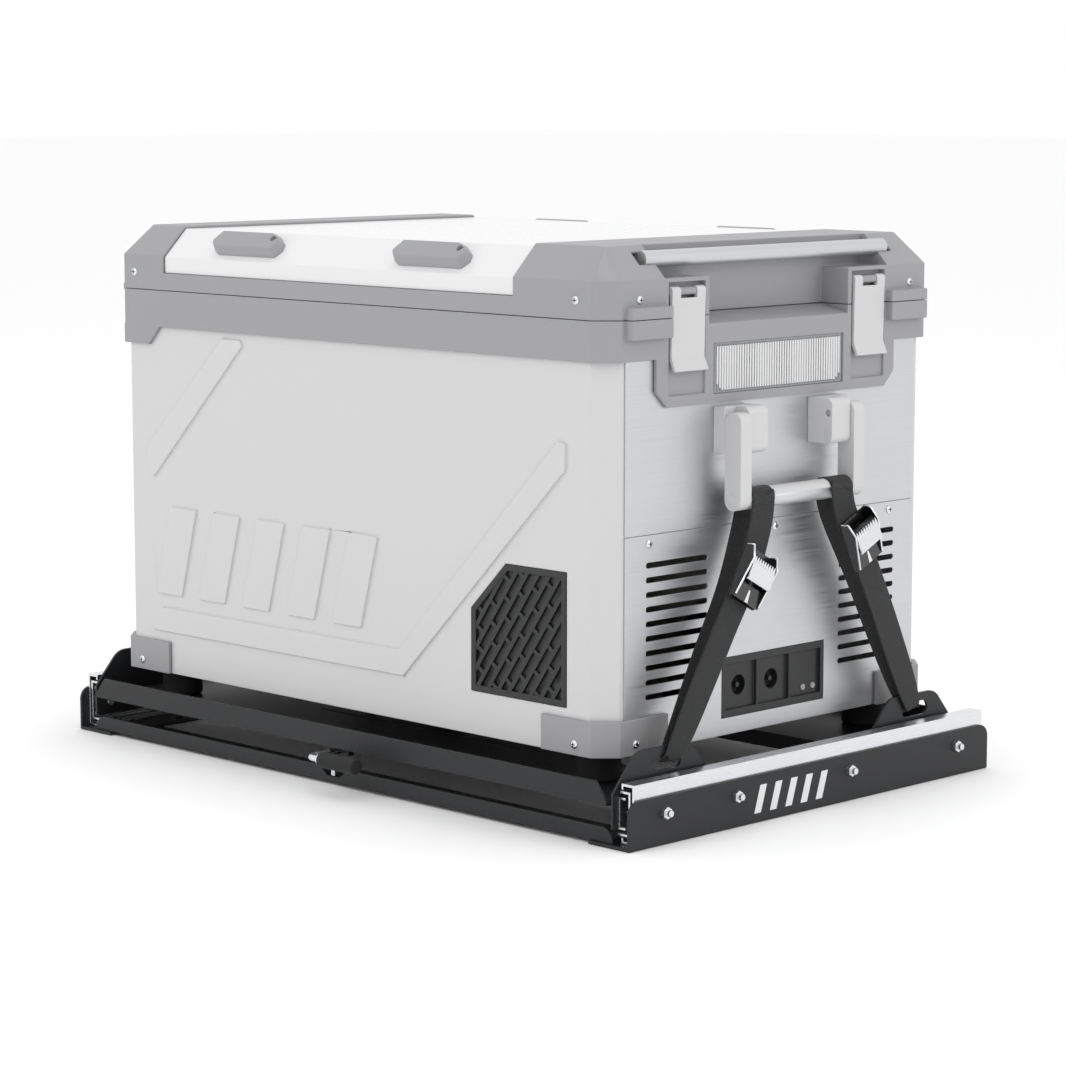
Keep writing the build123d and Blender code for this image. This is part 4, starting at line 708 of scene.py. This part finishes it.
class COOLER_OT_screws(bpy.types.Operator):
    """Adds domed heads over the cabinet's screws and at the lid's corners, each with a black cross of painted
    shade where its cross recess lies
    """

    bl_idname = "cooler.screws"
    bl_label = "Cross-head screws"

    def execute(self, context):
        heads = {"tray": [], "lid": []}
        for low, high in loose_boxes("case_screws"):
            size = high - low
            thin = min(range(3), key=lambda k: size[k])
            middle = (low + high) / 2
            normal = Vector((0, 0, 0))
            normal[thin] = math.copysign(1.0, middle[thin])
            heads["tray"].append((middle - normal * (size[thin] / 2 - 0.1 * MM), normal))
        for end in (-1, 1):
            for x in LID_SCREW_X:
                heads["lid"].append((Vector((x, end * LID_SIDE_Y, LID_SCREW_Z)) * MM, Vector((0, end, 0))))
            for x in LID_END_X:
                out = math.copysign(1.0, x)
                heads["lid"].append((Vector((x, end * LID_SCREW_Y, LID_SCREW_Z)) * MM, Vector((out, 0, 0))))
        for body, places in heads.items():
            domes, slots = bmesh.new(), bmesh.new()
            for centre, normal in places:
                turn = Matrix.Translation(centre) @ normal.to_track_quat("Z", "Y").to_matrix().to_4x4()
                rings = []
                for radius, height in SCREW_DOME:
                    spots = []
                    for k in range(SCREW_SIDES):
                        angle = math.tau * k / SCREW_SIDES
                        spot = Vector((radius * math.cos(angle), radius * math.sin(angle), height))
                        spots.append(spot * MM)
                    rings.append([domes.verts.new(turn @ spot) for spot in spots])
                for near, far in zip(rings, rings[1:]):
                    for k in range(SCREW_SIDES):
                        after = (k + 1) % SCREW_SIDES
                        domes.faces.new((near[k], near[after], far[after], far[k]))
                domes.faces.new(rings[-1])
                # each cross recess is a black block: painted shade where the recess would be dark
                for u, v in ((RECESS_LONG, RECESS_WIDE), (RECESS_WIDE, RECESS_LONG)):
                    outline = [(-u, -v), (u, -v), (u, v), (-u, v)]
                    cross = bmesh.new()
                    points = [(x * MM, y * MM) for x, y in outline]
                    add_prism(cross, points, RECESS_RANGE[0] * MM, RECESS_RANGE[1] * MM, "z")
                    bmesh.ops.transform(cross, matrix=turn, verts=cross.verts)
                    mesh = bpy.data.meshes.new("cross")
                    cross.to_mesh(mesh)
                    cross.free()
                    slots.from_mesh(mesh)
                    bpy.data.meshes.remove(mesh)
            new_piece(f"{body}_screw_heads", domes, "zinc_steel", body)
            new_piece(f"{body}_screw_recess_shade", slots, "black_nylon", body, smooth=False)
        return {"FINISHED"}


class COOLER_OT_grille(bpy.types.Operator):
    """Builds the intake grille: a frame with a cut corner, slanted bars and short bridges"""

    bl_idname = "cooler.grille"
    bl_label = "Intake grille"

    def execute(self, context):
        sizes = context.scene.cooler_sizes
        low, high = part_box("intake_grille")
        face, back = low.y, low.y + GRILLE_THICK * MM
        cut = GRILLE_CUT * MM
        rim = GRILLE_RIM * MM
        outline = [
            (low.x, low.z), (high.x, low.z), (high.x, high.z), (low.x + cut, high.z), (low.x, high.z - cut),
        ]
        inner = [
            (low.x + rim, low.z + rim), (high.x - rim, low.z + rim), (high.x - rim, high.z - rim),
            (low.x + cut + rim * 0.42, high.z - rim), (low.x + rim, high.z - cut - rim * 0.42),
        ]
        shape = bmesh.new()
        rings = []
        for points, depth in ((outline, back), (outline, face), (inner, face), (inner, back)):
            rings.append([shape.verts.new((x, depth, z)) for x, z in points])
        for near, far in zip(rings, rings[1:]):
            for i in range(5):
                j = (i + 1) % 5
                shape.faces.new((near[i], near[j], far[j], far[i]))
        new_piece("grille_frame", shape, "dark_plastic", "tray", round_mm=0.8)
        bars = bmesh.new()
        slant = math.radians(GRILLE_SLANT)
        run = Vector((math.cos(slant), 0, math.sin(slant)))
        across = Vector((math.sin(slant), 0, -math.cos(slant)))
        middle = (low + high) / 2
        turn = Matrix.Rotation(-slant, 4, "Y")
        heart = Vector((middle.x, (face + back) / 2 + 0.3 * MM, middle.z))
        for i in range(-9, 10):
            centre = heart + across * (i * sizes.grille_pitch)
            half = Vector((95 * MM, 1.1 * MM, sizes.grille_bar / 2))
            add_box(bars, centre - half, centre + half, turn)
            for k in range(-3, 4):
                spot = centre + across * (sizes.grille_pitch / 2) + run * ((k + 0.5 * (i % 2)) * 30 * MM)
                short = Vector((1.8 * MM, 0.9 * MM, sizes.grille_pitch / 2))
                add_box(bars, spot - short, spot + short, turn)
        count = len(inner)
        for i in range(count):
            a, b = inner[i], inner[(i + 1) % count]
            normal = Vector((b[1] - a[1], 0, -(b[0] - a[0]))).normalized()
            whole = bars.verts[:] + bars.edges[:] + bars.faces[:]
            cut_up = bmesh.ops.bisect_plane(
                bars, geom=whole, plane_co=(a[0], 0, a[1]), plane_no=normal, clear_outer=True,
            )
            rims = [e for e in cut_up["geom_cut"] if isinstance(e, bmesh.types.BMEdge)]
            bmesh.ops.holes_fill(bars, edges=rims)
        new_piece("grille_bars", bars, "dark_plastic", "tray", smooth=False)
        screen = bmesh.new()
        add_prism(screen, inner, back, back + 0.6 * MM, "y")
        screen_piece = new_piece("grille_screen", screen, "black_nylon", "tray", smooth=False)
        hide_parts("intake_grille")
        return {"FINISHED"}


class COOLER_OT_lamp(bpy.types.Operator):
    """Adds the upright flutes on the lamp's clear cover"""

    bl_idname = "cooler.lamp"
    bl_label = "Lamp flutes"

    def execute(self, context):
        sizes = context.scene.cooler_sizes
        low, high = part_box("light_lens")
        shape = bmesh.new()
        pitch = sizes.flute_pitch
        margin = 3.0 * MM
        count = int((high.y - low.y - 2 * margin) / pitch)
        start = (low.y + high.y) / 2 - (count - 1) * pitch / 2
        for i in range(count):
            y = start + i * pitch
            edge = min(y - low.y, high.y - y)
            base = low.z + margin + max(0.0, 11 * MM - edge)
            rows = []
            for z in (base, high.z - margin):
                rows.append([
                    shape.verts.new((
                        high.x + (0.9 * math.sin(a) - 0.1) * MM, y + pitch * 0.33 * math.cos(a), z,
                    ))
                    for a in (math.pi * s / 6 for s in range(7))
                ])
            for s in range(6):
                shape.faces.new((rows[0][s], rows[0][s + 1], rows[1][s + 1], rows[1][s]))
            shape.faces.new(rows[0])
            shape.faces.new(rows[1])
            shape.faces.new((rows[0][0], rows[0][6], rows[1][6], rows[1][0]))
        new_piece("lamp_flutes", shape, "white_plastic", "tray", smooth=False)
        return {"FINISHED"}


class COOLER_OT_mark(bpy.types.Operator):
    """Prints a plain row of slanted white bars on the right bracket"""

    bl_idname = "cooler.mark"
    bl_label = "Printed bars"

    def execute(self, context):
        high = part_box("right_side_bracket")[1]
        shape = bmesh.new()
        start, end = (along * MM for along in BARS_ALONG)
        bottom, top = (up * MM for up in BARS_UP)
        pitch = (end - start) / BARS_COUNT
        lean = BARS_LEAN * MM
        bar = pitch * 0.42
        for i in range(BARS_COUNT):
            y = start + i * pitch
            outline = [(y, bottom), (y + bar, bottom), (y + bar + lean, top), (y + lean, top)]
            add_prism(shape, outline, high.x - 0.05 * MM, high.x + 0.08 * MM, "x")
        new_piece("printed_bars", shape, "white_plastic", "base", smooth=False)
        return {"FINISHED"}


class COOLER_OT_stage(bpy.types.Operator):
    """Sets a pale floor, soft studio lights and the camera"""

    bl_idname = "cooler.stage"
    bl_label = "Stage"

    def execute(self, context):
        scene = context.scene
        shape = bmesh.new()
        below = Matrix.Translation((0, 0, -0.5 * MM))
        bmesh.ops.create_grid(shape, x_segments=2, y_segments=2, size=30.0, matrix=below)
        mesh = bpy.data.meshes.new("floor")
        shape.to_mesh(mesh)
        shape.free()
        floor = bpy.data.objects.new("floor", mesh)
        scene.collection.objects.link(floor)
        mesh.materials.append(grained(
            "painted_floor", hex_colour("#FCFCFC"), {"IOR": 1.45}, 3.0, 0.02, (0.7, 0.8), drift=1.0))
        world = bpy.data.worlds.new("studio")
        world.use_nodes = True
        sky = world.node_tree.nodes["Background"]
        sky.inputs["Color"].default_value = (1.0, 1.0, 1.0, 1.0)
        sky.inputs["Strength"].default_value = 1.0
        scene.world = world
        scene.view_settings.view_transform = "Standard"
        aim = Vector((0.0, 0.0, 0.25))
        for name, place, size, power in LIGHTS:
            lamp = bpy.data.lights.new(name, "AREA")
            lamp.shape = "DISK"
            lamp.size = size
            lamp.energy = power
            light = bpy.data.objects.new(name, lamp)
            light.location = place
            light.rotation_euler = (aim - Vector(place)).to_track_quat("-Z", "Y").to_euler()
            scene.collection.objects.link(light)
        around, above = math.radians(CAMERA_AROUND), math.radians(CAMERA_ABOVE)
        level = math.cos(above)
        back = Vector((math.sin(around) * level, -math.cos(around) * level, math.sin(above)))
        view = bpy.data.cameras.new("camera")
        view.lens = CAMERA_LENS
        view.sensor_width = 36.0
        view.clip_end = 50.0
        camera = bpy.data.objects.new("camera", view)
        camera.location = Vector(CAMERA_AIM) + back * CAMERA_FAR
        camera.rotation_euler = back.to_track_quat("Z", "Y").to_euler()
        scene.collection.objects.link(camera)
        scene.camera = camera
        return {"FINISHED"}


OPERATORS = (
    COOLER_OT_slide, COOLER_OT_cabinet, COOLER_OT_lid, COOLER_OT_handles, COOLER_OT_straps,
    COOLER_OT_buckles, COOLER_OT_screws, COOLER_OT_grille, COOLER_OT_lamp, COOLER_OT_mark, COOLER_OT_stage,
)


class COOLER_PT_panel(bpy.types.Panel):
    """Lists the pieces of the cooler fridge"""

    bl_idname = "COOLER_PT_panel"
    bl_label = "Cooler fridge"
    bl_space_type = "VIEW_3D"
    bl_region_type = "UI"
    bl_category = "Cooler Fridge"

    def draw(self, context):
        for group in (context.scene.cooler_sizes, context.scene.cooler_colours):
            for name in group.__annotations__:
                self.layout.prop(group, name)
        for operator in OPERATORS:
            self.layout.operator(operator.bl_idname)


CLASSES = (CoolerSizes, CoolerColours, *OPERATORS, COOLER_PT_panel)


def register():
    """Registers the classes and hangs the sizes and colours on the scene."""
    for cls in CLASSES:
        bpy.utils.register_class(cls)
    bpy.types.Scene.cooler_sizes = bpy.props.PointerProperty(type=CoolerSizes)
    bpy.types.Scene.cooler_colours = bpy.props.PointerProperty(type=CoolerColours)


def unregister():
    """Takes the sizes, the colours and the classes off again."""
    del bpy.types.Scene.cooler_colours
    del bpy.types.Scene.cooler_sizes
    for cls in reversed(CLASSES):
        bpy.utils.unregister_class(cls)


def main():
    """Dresses the whole object in order."""
    register()
    for operator in OPERATORS:
        getattr(bpy.ops.cooler, operator.bl_idname.split(".")[1])()
    bpy.context.view_layer.update()


if __name__ == "__main__":
    main()
